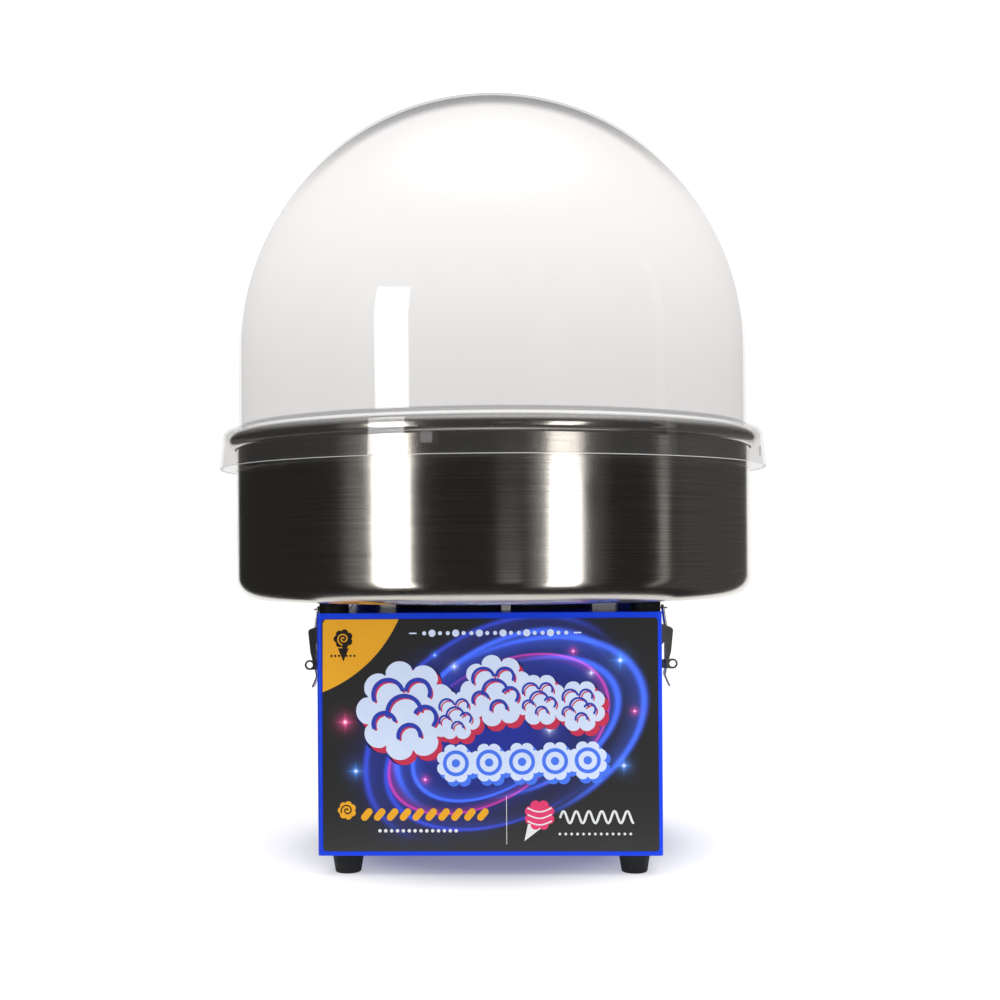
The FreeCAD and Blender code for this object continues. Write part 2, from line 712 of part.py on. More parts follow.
def make_spinner():
    """Everything that turns with the motor shaft."""
    shaft = turned("drive_shaft", [
        ("0", "mount_height - 125"), ("shaft_radius - 1", "mount_height - 125"),
        ("shaft_radius", "mount_height - 124"), ("shaft_radius", "head_floor + 23"),
        ("shaft_radius - 1", "head_floor + 24"), ("0", "head_floor + 24")])
    rotor = ring("motor_rotor", "shaft_radius", "37.5", "mount_height - 90", "mount_height - 32")
    hub = turned("slip_ring_hub", [
        ("shaft_radius", "mount_height + 8"), ("ring_inner + 5", "mount_height + 8"),
        ("ring_inner + 5", "mount_height + 12"), ("ring_inner", "mount_height + 12"),
        ("ring_inner", "mount_height + 56"), ("shaft_radius", "mount_height + 56")])
    slip = ring("slip_ring", "ring_inner", "ring_outer", "-6", "6")
    rings = copies("slip_rings", slip, [("0", "0", "mount_height + 20", 0),
                                        ("0", "0", "mount_height + 46", 0)])
    base = turned("head_base", [
        ("shaft_radius", "head_floor - 15"), ("16", "head_floor - 15"),
        ("16", "head_floor - 2"), ("head_radius - 4", "head_floor - 2"),
        ("head_radius", "head_floor + 2", "4", 1), ("head_radius", "head_floor + 10"),
        ("head_radius - 2.4", "head_floor + 10"), ("head_radius - 2.4", "head_floor + 4"),
        ("shaft_radius", "head_floor + 4")])
    seats = sketch(base, "XY_Plane")
    circle(seats, "62", "0", "2.05")
    repeat_about_z(base, pocket(base, seats), 4)
    cup = turned("sugar_cup", [
        ("shaft_radius", "head_floor + 4"), ("44", "head_floor + 4"),
        ("52", "head_floor + 12", "8", 1), ("52", "head_top"), ("50.5", "head_top"),
        ("50.5", "head_floor + 12"), ("44", "head_floor + 5.5", "6.5", -1),
        ("shaft_radius", "head_floor + 5.5")])
    ribbon = ring("heater_ribbon", "68", "69.5", "head_floor + 5", "head_top - 1")
    slots_about_z(ribbon, "1.2", "head_floor + 10", "head_top - 6", 40)
    band = ring("head_band", "head_radius - 3.9", "head_radius - 2.5", "head_floor + 4", "head_top")
    slots_about_z(band, "1.5", "head_floor + 15", "head_top - 5", 40)
    cap = turned("head_cap", [
        ("40", "head_top"), ("head_radius", "head_top"), ("head_radius", "head_top + 3"),
        ("head_radius - 3", "head_top + 6", "3", 1), ("40", "head_top + 9"),
        ("38.5", "head_top + 8"), ("38.5", "head_top + 1")])
    seats = sketch(cap, "XY_Plane")
    circle(seats, "62", "0", "2.05")
    repeat_about_z(cap, pocket(cap, seats), 4)
    screw = joined("head_screw", rod("4", "2.6", "0", "0", "head_top + 7.6"),
                   rod("2", "59", "0", "0", "head_top + 9 - 59"))
    turns = [("62", "0", "0", 0), ("0", "62", "0", 0), ("-62", "0", "0", 0), ("0", "-62", "0", 0)]
    screws = copies("head_screws", screw, turns)
    nut = turned("spinner_nut", [
        ("shaft_radius", "head_floor + 5.5"), ("15", "head_floor + 5.5"), ("15", "head_floor + 7.5"),
        ("11", "head_floor + 8"), ("11", "head_floor + 18"), ("10", "head_floor + 19"),
        ("shaft_radius", "head_floor + 19")])
    return [shaft, rotor, hub, rings, base, cup, ribbon, band, cap, screws, nut]


# --------------------------------------------------------------------- bowl

def make_bowl():
    """A spun pan with a rolled edge, open over the drive in the middle."""
    across, down = 0.17, 0.98544        # where the roll ends, in parts of its radius
    inner = "bead_radius - bowl_gauge"
    bowl = turned("bowl", [
        ("bowl_hole", "bowl_floor"), ("bowl_radius - bowl_corner", "bowl_floor"),
        ("bowl_radius", "bowl_floor + bowl_corner", "bowl_corner", 1),
        ("bowl_radius", f"bead_height + {inner}"),
        (f"bowl_radius + {inner}", "bead_height", inner, -1),
        (f"bowl_radius + {across} * ({inner})", f"bead_height - {down} * ({inner})", inner, -1),
        (f"bowl_radius + {across} * bead_radius", f"bead_height - {down} * bead_radius"),
        ("bowl_radius + bead_radius", "bead_height", "bead_radius", 1),
        ("bowl_radius", "bead_height + bead_radius", "bead_radius", 1),
        ("bowl_radius - bowl_gauge", f"bead_height + {inner}", "bowl_gauge", 1),
        ("bowl_radius - bowl_gauge", "bowl_floor + bowl_corner"),
        ("bowl_radius - bowl_corner", "bowl_floor + bowl_gauge", "bowl_corner - bowl_gauge", -1),
        ("bowl_hole", "bowl_floor + bowl_gauge")])
    holes = sketch(bowl, "XY_Plane")
    for x in STRAP_RIVETS:
        circle(holes, x, "-latch_y", "screw_radius + latch_fit")
    pocket(bowl, holes, "bowl_floor + 10", backwards=True)
    collar = turned("bowl_collar", [
        ("bowl_hole - 1.6", "bowl_floor"), ("bowl_hole - 0.1", "bowl_floor"),
        ("bowl_hole - 0.1", "bowl_floor + bowl_gauge"), ("bowl_hole + 14", "bowl_floor + bowl_gauge"),
        ("bowl_hole + 14", "bowl_floor + 2 * bowl_gauge"), ("bowl_hole", "bowl_floor + 2 * bowl_gauge"),
        ("bowl_hole", "collar_height - 2"), ("bowl_hole - 1.6", "collar_height")])
    return [bowl, collar]


STRAP_RIVETS = ("-130", "-60", "60", "130")


def make_strap():
    """A flat strip across the bowl's underside; its ends are the keepers."""
    strap = new_body("bowl_strap")
    side_view = sketch(strap, "XZ_Plane", "latch_y")
    top = "bowl_floor"
    outline(side_view, [
        ("-keeper_tip", "keeper_bottom"), ("-171", "keeper_bottom"), ("-162", f"{top} - 1.5"),
        ("162", f"{top} - 1.5"), ("171", "keeper_bottom"), ("keeper_tip", "keeper_bottom"),
        ("keeper_tip", "keeper_bottom + 1.5"), ("170", "keeper_bottom + 1.5"), ("161.4", top),
        ("-161.4", top), ("-170", "keeper_bottom + 1.5"), ("-keeper_tip", "keeper_bottom + 1.5")])
    pad(strap, side_view, "strap_width", symmetric=True)
    holes = sketch(strap, "XY_Plane")
    for x in STRAP_RIVETS:
        circle(holes, x, "-latch_y", "screw_radius + latch_fit")
    pocket(strap, holes)
    rivet = joined("strap_rivet", rod("screw_radius", "4.4", z="bowl_floor - 2.2"),
                   rod("3.8", "1", z="bowl_floor - 2.5"),
                   rod("3.8", "1.2", z="bowl_floor + bowl_gauge"))
    rivets = copies("strap_rivets", rivet, [(x, "-latch_y", "0", 0) for x in STRAP_RIVETS])
    return [strap, rivets]


# --------------------------------------------------------------------- dome

def make_dome():
    """A blown clear dome: half ball, straight wall, flange and outer skirt."""
    inner_radius = "dome_radius - dome_gauge"
    top = "dome_seat + dome_gauge"
    corner_in = "flange_corner - dome_gauge"
    dome = turned("dome", [
        (inner_radius, "dome_seat"), ("skirt_top_radius - flange_corner", "dome_seat"),
        ("skirt_top_radius - dome_gauge", f"{top} - flange_corner", corner_in, -1),
        ("skirt_radius - dome_gauge", "skirt_bottom"), ("skirt_radius", "skirt_bottom"),
        ("skirt_top_radius", f"{top} - flange_corner"),
        ("skirt_top_radius - flange_corner", top, "flange_corner", 1),
        ("dome_radius + 5", top), ("dome_radius", f"{top} + 5", "5", -1),
        ("dome_radius", "dome_spring"), ("0", "dome_spring + dome_radius", "dome_radius", 1),
        ("0", f"dome_spring + {inner_radius}"),
        (inner_radius, "dome_spring", inner_radius, -1)])
    pads = document.addObject("Part::Feature", "skirt_pad")
    low, wide, deep, tall = number("skirt_bottom") + 13, 13.0, 2.6, 12.0
    lean = 2.95                         # the skirt slopes inward up to the pad's top
    reach = number("skirt_radius - dome_gauge") - lean
    box = Part.makeBox(wide, deep, tall, Vector(-wide / 2, -reach, low))
    pads.Shape = box.makeFillet(2.0, [e for e in box.Edges if abs(e.tangentAt(0).y) > 0.9])
    places = [("0", "0", "0", angle) for angle in (-10.2, 79.8, 169.8, 259.8)]
    return [dome, copies("dome_skirt_pads", pads, places)]


# ---------------------------------------------------------- operator's panel

def make_switch(x, rocker_label):
    """A rocker switch: a housing through the panel, and its rocker."""
    y = HALF_Y
    z = "control_height"
    flange = block(f"{x} - 11", f"{x} + 11", y, f"{y} + 2.5", f"{z} - 15", f"{z} + 15")
    case = block(f"{x} - 9", f"{x} + 9", f"{y} - 24", y, f"{z} - 12", f"{z} + 12")
    well = block(f"{x} - 6.8", f"{x} + 6.8", f"{y} - 14", f"{y} + 4", f"{z} - 10.3", f"{z} + 10.3")
    pin_holes = rod("1.5", "16.6", f"{x} - 8.3", "rocker_pivot_y", z, "+X")
    housing = less(rocker_label + "_housing", joined("housing", flange, case), well, pin_holes)
    rocker = new_body(rocker_label)
    section = sketch(rocker, "YZ_Plane")
    outline(section, [("-5", "-3.5"), ("-2", "-8"), ("5.5", "-8.8"), ("3.7", "0"), ("5.5", "8.8"),
                      ("-2", "8"), ("-5", "3.5")])
    pad(rocker, section, "12.6", symmetric=True)
    axle = sketch(rocker, "YZ_Plane")
    circle(axle, "0", "0", "1.45")
    pad(rocker, axle, "16", symmetric=True)
    put(rocker, x, "rocker_pivot_y", z)
    rocker.Placement.Rotation = FreeCAD.Rotation(Vector(1, 0, 0), -number("rocker_tilt"))
    return housing, rocker


def make_operator_panel():
    z = "control_height"
    power, power_rocker = make_switch("power_switch_x", "power_rocker")
    heat, heat_rocker = make_switch("heat_switch_x", "heat_rocker")
    housings = together("switch_housings", power, heat)

    pot = joined("pot_outside", rod("12", "14", "knob_x", f"{HALF_Y} - 15.5", z, "+Y"),
                 rod("5", "8.5", "knob_x", f"{HALF_Y} - 2", z, "+Y"))
    potentiometer = less("heat_potentiometer", pot,
                         rod("3.05", "30", "knob_x", f"{HALF_Y} - 12", z, "+Y"))
    knob_shaft = rod("3", "24", "knob_x", f"{HALF_Y} - 11", z, "+Y", "knob_shaft")

    knob = new_body("heat_knob")
    side_view = sketch(knob, "XZ_Plane")
    outline(side_view, [("3", "2"), ("9", "2"), ("9", "0"), ("knob_radius", "0"),
                        ("knob_radius", "5"), ("knob_radius - 2.5", "14"),
                        ("knob_radius - 4", "15.5", "1.5", 1), ("0", "15.5"), ("0", "8"), ("3", "8")])
    turn = knob.newObject("PartDesign::Revolution", "knob_turn")
    turn.Profile = side_view
    turn.ReferenceAxis = (side_view, ["V_Axis"])
    turn.Angle = 360
    document.recompute()
    mark = sketch(knob, "XY_Plane", "16")
    rectangle(mark, "-0.8", "0.8", "4", "16", "0.7")
    pocket(knob, mark, "1.5")
    put(knob, "knob_x", f"{HALF_Y} + 5.5", z, "+Y")

    body = joined("breaker_outside", block("breaker_x - 9", "breaker_x + 9", f"{HALF_Y} - 31.5",
                                           f"{HALF_Y} - 1.5", f"{z} - 8", f"{z} + 8"),
                  rod("5.5", "6.5", "breaker_x", f"{HALF_Y} - 2", z, "+Y"))
    breaker = less("breaker_body", body, rod("3.45", "20", "breaker_x", f"{HALF_Y} - 12", z, "+Y"))
    button = rod("3.4", "15", "breaker_x", f"{HALF_Y} - 7", z, "+Y", "breaker_button")
    nuts = []
    for x, radius in (("knob_x", "5"), ("breaker_x", "5.5")):
        hexagon = document.addObject("Part::Prism", "hexagon")
        hexagon.Polygon = 6
        bind(hexagon, "Circumradius", "8.2")
        bind(hexagon, "Height", "2.6")
        put(hexagon, x, HALF_Y, z, "+Y")
        nuts.append(less("bushing_nut", hexagon, rod(radius, "9", x, f"{HALF_Y} - 3", z, "+Y")))

    inlet_z = "inlet_height"
    shell = joined(
        "inlet_outside",
        block("inlet_x - 25", "inlet_x + 25", HALF_Y, f"{HALF_Y} + 3", f"{inlet_z} - 12",
              f"{inlet_z} + 12"),
        block("inlet_x - 13.8", "inlet_x + 13.8", f"{HALF_Y} - 22", HALF_Y, f"{inlet_z} - 10",
              f"{inlet_z} + 10"))
    hollow = block("inlet_x - 12", "inlet_x + 12", f"{HALF_Y} - 17", f"{HALF_Y} + 4",
                   f"{inlet_z} - 8", f"{inlet_z} + 8")
    screw_holes = [rod("1.65", "9", f"inlet_x + {x}", f"{HALF_Y} - 3", inlet_z, "+Y")
                   for x in ("-20", "20")]
    inlet_case = less("inlet_case", shell, hollow, *screw_holes)
    blades = [block(f"inlet_x + {x} - 1", f"inlet_x + {x} + 1", f"{HALF_Y} - 18", f"{HALF_Y} - 4",
                    f"{inlet_z} + {dz} - 2", f"{inlet_z} + {dz} + 2")
              for x, dz in (("-7", "-2"), ("0", "2"), ("7", "-2"))]
    inlet = joined("power_inlet", inlet_case, *blades)
    screw = joined("inlet_screw", rod("2.8", "1.6", label="head"), rod("1.6", "8", z="-8"))
    links = []
    for x in ("-20", "20"):
        link = document.addObject("App::Link", "inlet_screw_copy")
        link.LinkedObject = screw
        links.append(put(link, f"inlet_x + {x}", f"{HALF_Y} + 3", inlet_z, "+Y"))
    return [housings, power_rocker, heat_rocker, potentiometer, knob_shaft, knob, breaker, button,
            together("bushing_nuts", *nuts), inlet, together("inlet_screws", *links)]


# -------------------------------------------------------------------- write

def check_and_write(nodes):
    document.recompute()
    for item in document.Objects:
        if "Invalid" in item.State or "Error" in item.State:
            raise ValueError(f"{item.Label} failed: {item.State}")
    os.makedirs("parts", exist_ok=True)
    labels = [node.Label for node in nodes]
    if len(set(labels)) != len(labels):
        raise ValueError("two nodes share a name")
    for node in nodes:
        shape = node.Shape
        if shape.isNull() or not shape.isValid() or not shape.Solids:
            raise ValueError(f"{node.Label} has no sound shape")
        shape.exportStep(f"parts/{node.Label}.step")
    print(len(nodes), "nodes written")


fill_sheet()
check_and_write(
    make_cabinet_shell() + make_trays() + make_rear_panel() + make_front_art()
    + make_case_screws() + make_feet() + make_bumpers() + make_latches() + make_motor()
    + make_brushes() + make_controls_inside() + make_spinner() + make_bowl() + make_strap()
    + make_dome() + make_operator_panel())
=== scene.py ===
"""The looks of the cotton candy machine: finishes, panel artwork, smooth spun
and blown shells, studio and camera. Everything is in metres, Z up, with the
machine's front at -Y."""
import math

import bmesh
import bpy
from mathutils import Matrix, Vector


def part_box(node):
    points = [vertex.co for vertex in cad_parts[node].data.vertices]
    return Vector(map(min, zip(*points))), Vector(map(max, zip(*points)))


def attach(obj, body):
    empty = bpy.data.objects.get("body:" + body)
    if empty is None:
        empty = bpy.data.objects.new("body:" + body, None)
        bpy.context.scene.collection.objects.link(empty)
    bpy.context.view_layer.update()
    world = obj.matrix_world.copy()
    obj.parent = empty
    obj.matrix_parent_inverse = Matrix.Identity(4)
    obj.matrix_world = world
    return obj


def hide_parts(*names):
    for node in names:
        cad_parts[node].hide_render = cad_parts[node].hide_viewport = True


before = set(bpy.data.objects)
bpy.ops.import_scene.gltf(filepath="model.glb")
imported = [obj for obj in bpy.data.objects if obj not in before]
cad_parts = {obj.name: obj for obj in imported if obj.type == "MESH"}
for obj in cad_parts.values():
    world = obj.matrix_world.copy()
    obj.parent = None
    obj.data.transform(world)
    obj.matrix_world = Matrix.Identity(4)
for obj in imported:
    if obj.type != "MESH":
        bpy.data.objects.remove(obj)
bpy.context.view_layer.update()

MM = 0.001


# ------------------------------------------------------------------ shaders

class Graph:
    """A short way to write a node tree."""

    def __init__(self, tree):
        self.tree = tree
        tree.nodes.clear()

    def plug(self, socket, value):
        if isinstance(value, bpy.types.NodeSocket):
            self.tree.links.new(value, socket)
        else:
            socket.default_value = value

    def add(self, kind, settings=None, **inputs):
        """A shader node; an input's spaces are written as underscores."""
        node = self.tree.nodes.new("ShaderNode" + kind)
        for name, value in (settings or {}).items():
            setattr(node, name, value)
        for name, value in inputs.items():
            self.plug(node.inputs[name.replace("_", " ")], value)
        return node

    def math(self, operation, *values, clamp=False):
        node = self.add("Math", {"operation": operation, "use_clamp": clamp})
        for socket, value in zip(node.inputs, values):
            self.plug(socket, value)
        return node.outputs[0]

    def between(self, value, low, high, to_low=0.0, to_high=1.0):
        """A smooth step of value from low to high, as to_low to to_high."""
        node = self.add("MapRange", {"interpolation_type": "SMOOTHSTEP"})
        for socket, number in zip(node.inputs, (value, low, high, to_low, to_high)):
            self.plug(socket, number)
        return node.outputs[0]

    def mix(self, factor, first, second, blend="MIX"):
        node = self.add("Mix", {"data_type": "RGBA", "blend_type": blend})
        self.plug(node.inputs[0], factor)
        self.plug(node.inputs[6], first)
        self.plug(node.inputs[7], second)
        return node.outputs[2]

    def place(self):
        """The object's own coordinates."""
        return self.add("TexCoord").outputs["Object"]

    def noise(self, vector, scale, detail=2.0, roughness=0.5):
        node = self.add("TexNoise", Vector=vector, Scale=scale, Detail=detail, Roughness=roughness)
        return node.outputs["Fac"]

    def around_axis(self):
        """Coordinates that follow a turned piece: angle, height, radius."""
        x, y, z = self.add("SeparateXYZ", Vector=self.place()).outputs
        angle = self.math("ARCTAN2", y, x)
        flat = self.math("ADD", self.math("MULTIPLY", x, x), self.math("MULTIPLY", y, y))
        return angle, z, self.math("SQRT", flat)

    def bump(self, height, strength, distance):
        return self.add("Bump", Height=height, Strength=strength, Distance=distance).outputs[0]

    def finish(self, shader):
        output = self.add("OutputMaterial")
        self.tree.links.new(shader.outputs[0], output.inputs["Surface"])


def new_material(name):
    material = bpy.data.materials.new(name)
    material.use_nodes = True
    return material, Graph(material.node_tree)


def grey(level):
    return (level, level, level, 1.0)


def rgb(red, green, blue):
    """A linear colour from one given as 0 to 255 on screen."""
    linear = []
    for channel in (red, green, blue):
        share = channel / 255
        linear.append(share / 12.92 if share <= 0.04045 else ((share + 0.055) / 1.055) ** 2.4)
    return (*linear, 1.0)


def spun_stainless(name):
    """Steel brushed round and round: fine turned lines and a few scratches."""
    material, g = new_material(name)
    angle, height, radius = g.around_axis()
    across = g.math("ADD", height, radius)
    lines = g.add("CombineXYZ", X=g.math("MULTIPLY", angle, 1.6), Y=g.math("MULTIPLY", across, 900.0))
    brushing = g.noise(lines.outputs[0], 1.0, 4.0, 0.6)
    wide = g.add("CombineXYZ", X=g.math("MULTIPLY", angle, 2.5), Y=g.math("MULTIPLY", across, 14.0))
    cloud = g.noise(wide.outputs[0], 1.0, 3.0, 0.55)
    scratch = g.add("CombineXYZ", X=g.math("MULTIPLY", angle, 9.0), Y=g.math("MULTIPLY", across, 260.0))
    marks = g.between(g.noise(scratch.outputs[0], 1.0, 2.0, 0.7), 0.66, 0.76)
    handled, untouched = 0.345, 0.375
    fewer = g.between(height, handled, untouched, 0.0, 0.85)
    marks = g.math("MULTIPLY", marks, g.math("SUBTRACT", 1.0, fewer))
    tone = g.mix(g.between(brushing, 0.3, 0.7), rgb(188, 182, 173), rgb(218, 213, 205))
    tone = g.mix(g.math("MULTIPLY", marks, 0.45), tone, rgb(236, 234, 230))
    rough = g.math("ADD", g.between(cloud, 0.35, 0.70, 0.17, 0.23), g.math("MULTIPLY", marks, 0.10))
    tangent = g.add("Tangent", {"direction_type": "RADIAL", "axis": "Z"}).outputs[0]
    relief = g.math("ADD", g.math("MULTIPLY", brushing, 0.6), g.math("MULTIPLY", marks, 0.4))
    g.finish(g.add("BsdfPrincipled", Base_Color=tone, Metallic=1.0, Roughness=rough, Anisotropic=0.75,
                   Anisotropic_Rotation=0.25, Tangent=tangent, Normal=g.bump(relief, 0.065, 0.0002)))
    return material


def metal(name, colour, roughness=0.3, grain=400.0, wear=0.2, relief=0.08):
    """Plated or cast metal: a cloudy surface with fine grain."""
    material, g = new_material(name)
    cloud = g.noise(g.place(), 28.0, 4.0, 0.6)
    fine = g.noise(g.place(), grain, 2.0)
    darker = (*[channel * (1 - wear) for channel in colour[:3]], 1.0)
    tone = g.mix(g.between(cloud, 0.3, 0.7), darker, colour)
    rough = g.between(cloud, 0.3, 0.7, roughness * 1.3, roughness * 0.85)
    g.finish(g.add("BsdfPrincipled", Base_Color=tone, Metallic=1.0, Roughness=rough,
                   Normal=g.bump(fine, relief, 0.0003)))
    return material


def moulded(name, colour, roughness=0.4, grain=900.0, relief=0.15, specular=0.5):
    """Plastic or rubber: an even colour with a fine moulded texture."""
    material, g = new_material(name)
    cloud = g.noise(g.place(), 40.0, 3.0, 0.6)
    fine = g.noise(g.place(), grain, 3.0, 0.6)
    darker = (*[channel * 0.85 for channel in colour[:3]], 1.0)
    rough = g.between(cloud, 0.3, 0.7, roughness * 0.9, min(roughness * 1.15, 1.0))
    g.finish(g.add("BsdfPrincipled", Base_Color=g.mix(cloud, darker, colour), Roughness=rough,
                   Specular_IOR_Level=specular, Normal=g.bump(fine, relief, 0.0004)))
    return material


def powder_coat(name):
    """Gloss blue powder coat with a faint orange peel."""
    material, g = new_material(name)
    peel = g.noise(g.place(), 420.0, 2.0, 0.5)
    cloud = g.noise(g.place(), 9.0, 3.0, 0.5)
    tone = g.mix(cloud, rgb(16, 58, 212), rgb(22, 68, 226))
    g.finish(g.add("BsdfPrincipled", Base_Color=tone, Roughness=g.between(cloud, 0.3, 0.7, 0.30, 0.38),
                   Coat_Weight=0.1, Coat_Roughness=0.15, Specular_IOR_Level=0.2,
                   Normal=g.bump(peel, 0.12, 0.0004)))
    return material


def clear_polycarbonate(name, tint=0.935, haze=0.0):
    """Blown clear plastic: a thin wall that tints a little and mirrors a little
    on its outer face. Painted shade darkens it in a band along the ball's crown
    and in a thin line at its foot, and it is slightly milky in the skirt and at
    the flange's bend. Heights in metres."""
    material, g = new_material(name)
    mid_wall, ball_middle, flange_start = 0.3245, 0.637, 0.331
    crown_low, crown_high = 0.81, 0.955
    foot_low, foot_high = (0.5332, 0.5345), (0.5375, 0.5400)
    bend_low, bend_high = (0.521, 0.527), (0.533, 0.537)
    skirt_low, skirt_high = 0.526, 0.532
    # How deep the painted shade is at the crown and at the foot, and how much less the inner wall lets
    # through edge-on.
    crown_painted_shade, foot_painted_shade, wall_dark = 0.21, 0.24, 0.07
    bend_milk, skirt_milk = 0.13, 0.011
    facing = g.add("LayerWeight", Blend=0.5).outputs["Facing"]
    x, y, z = g.add("SeparateXYZ", Vector=g.place()).outputs
    above = g.math("MAXIMUM", g.math("SUBTRACT", z, ball_middle), 0.0)
    flat = g.math("ADD", g.math("MULTIPLY", x, x), g.math("MULTIPLY", y, y))
    reach = g.math("SQRT", g.math("ADD", flat, g.math("MULTIPLY", above, above)))
    inside = g.math("LESS_THAN", reach, mid_wall)
    front = g.math("SUBTRACT", 1.0, g.add("NewGeometry").outputs["Backfacing"])
    shine = g.math("MULTIPLY_ADD", g.math("POWER", facing, 5.0), 0.03, 0.06)
    shine = g.math("MULTIPLY", g.math("MULTIPLY", shine, front), g.math("SUBTRACT", 1.0, inside))
    # Painted shade: a dark band along the crown where the ball is seen near edge-on.
    crown = g.math("MULTIPLY", g.between(facing, 0.70, 0.80), g.between(z, crown_low, crown_high))
    edge_on = g.math("MULTIPLY", g.math("POWER", facing, 3.0), inside)
    # Painted shade: a thin dark line around the foot of the ball.
    foot = g.math("MULTIPLY", g.between(z, *foot_low), g.between(z, *foot_high[::-1]))
    dark = g.math("ADD", g.math("MULTIPLY", crown, crown_painted_shade), g.math("MULTIPLY", foot, foot_painted_shade))
    dark = g.math("ADD", dark, g.math("MULTIPLY", edge_on, wall_dark))
    through = g.math("SUBTRACT", 1.0, dark)
    tone = g.mix(through, grey(0.0), (tint, tint * 0.996, tint * 0.994, 1.0))
    clear = g.add("BsdfTransparent", Color=tone)
    gloss = g.add("BsdfAnisotropic", Color=grey(1.0), Roughness=0.015)
    mixed = g.add("MixShader", Fac=shine)
    g.tree.links.new(clear.outputs[0], mixed.inputs[1])
    g.tree.links.new(gloss.outputs[0], mixed.inputs[2])
    bend = g.math("MULTIPLY", g.between(z, *bend_low), g.between(z, *bend_high[::-1]))
    bend = g.math("MULTIPLY", bend, g.math("GREATER_THAN", flat, flange_start ** 2))
    milky = g.add("BsdfPrincipled", Base_Color=grey(0.95), Roughness=0.35)
    skirt = g.between(z, skirt_high, skirt_low, haze, haze + skirt_milk)
    hazed = g.add("MixShader", Fac=g.math("MULTIPLY_ADD", bend, bend_milk, skirt))
    g.tree.links.new(mixed.outputs[0], hazed.inputs[1])
    g.tree.links.new(milky.outputs[0], hazed.inputs[2])
    g.finish(hazed)
    return material


def ink(name, colour, second=None):
    """Printed ink under the art sheet's clear film."""
    material, g = new_material(name)
    cloud = g.noise(g.place(), 30.0, 3.0, 0.6)
    other = second or (*[channel * 0.9 for channel in colour[:3]], 1.0)
    film = g.noise(g.place(), 1400.0, 2.0)
    g.finish(g.add("BsdfPrincipled", Base_Color=g.mix(cloud, other, colour), Roughness=0.38,
                   Normal=g.bump(film, 0.05, 0.0002)))
    return material


def laminated_steel(name):
    """Stacked steel sheets, seen as lines up the stack."""
    material, g = new_material(name)
    wave = g.add("TexWave", {"bands_direction": "Z"}, Vector=g.place(), Scale=320.0).outputs["Fac"]
    tone = g.mix(wave, rgb(92, 92, 96), rgb(150, 150, 154))
    g.finish(g.add("BsdfPrincipled", Base_Color=tone, Metallic=1.0, Roughness=0.45,
                   Normal=g.bump(wave, 0.3, 0.0004)))
    return material


def circuit_board(name):
    """Green board with paler tracks."""
    material, g = new_material(name)
    tracks = g.add("TexVoronoi", {"feature": "DISTANCE_TO_EDGE"}, Vector=g.place(), Scale=140.0)
    line = g.between(tracks.outputs["Distance"], 0.03, 0.06)
    tone = g.mix(line, rgb(60, 140, 80), rgb(14, 74, 38))
    g.finish(g.add("BsdfPrincipled", Base_Color=tone, Roughness=0.35, Coat_Weight=0.3,
                   Normal=g.bump(line, 0.2, 0.0003)))
    return material


# -------------------------------------------------- the art sheet's printing

art_low, art_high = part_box("front_graphic_panel")
ART_WIDTH = art_high.x - art_low.x
ART_HEIGHT = art_high.z - art_low.z


def on_art(across, up):
    """X and Z of a place on the sheet, given as shares of its width and height."""
    return art_low.x + across * ART_WIDTH, art_low.z + up * ART_HEIGHT


# The glowing sugar threads: middle, half axes and tilt in shares of the
# sheet's height, thread width, where each is brightest (degrees), and colour.
BLUE_GLOW = rgb(58, 104, 255)
DEEP_GLOW = rgb(34, 62, 200)
MAGENTA_GLOW = rgb(196, 34, 140)
THREADS = [
    ((0.565, 0.50), (0.60, 0.375), 24, 0.014, 30, BLUE_GLOW),
    ((0.555, 0.47), (0.56, 0.33), 24, 0.010, 215, DEEP_GLOW),
    ((0.575, 0.53), (0.465, 0.27), 22, 0.017, 5, BLUE_GLOW),
    ((0.560, 0.53), (0.445, 0.285), 24, 0.007, 40, MAGENTA_GLOW),
    ((0.470, 0.45), (0.42, 0.25), 26, 0.008, 245, MAGENTA_GLOW),
    ((0.500, 0.47), (0.36, 0.215), 28, 0.013, 230, BLUE_GLOW),
    ((0.520, 0.52), (0.62, 0.42), 34, 0.012, 140, DEEP_GLOW),
    ((0.545, 0.55), (0.52, 0.33), 34, 0.016, 135, BLUE_GLOW),
]

# The sparkles: place as shares of the sheet, size and colour.
PINK = rgb(255, 80, 160)
SKY = rgb(80, 150, 255)
PALE = rgb(210, 220, 255)
SPARKLES = [
    ((0.068, 0.556), 0.050, PINK), ((0.099, 0.345), 0.046, SKY), ((0.888, 0.818), 0.055, SKY),
    ((0.897, 0.367), 0.046, SKY), ((0.749, 0.858), 0.026, PINK), ((0.930, 0.600), 0.026, PINK),
    ((0.802, 0.764), 0.024, PALE), ((0.337, 0.843), 0.022, SKY), ((0.306, 0.308), 0.026, PINK),
    ((0.677, 0.521), 0.034, PALE), ((0.395, 0.794), 0.026, PALE), ((0.330, 0.409), 0.022, PINK),
]


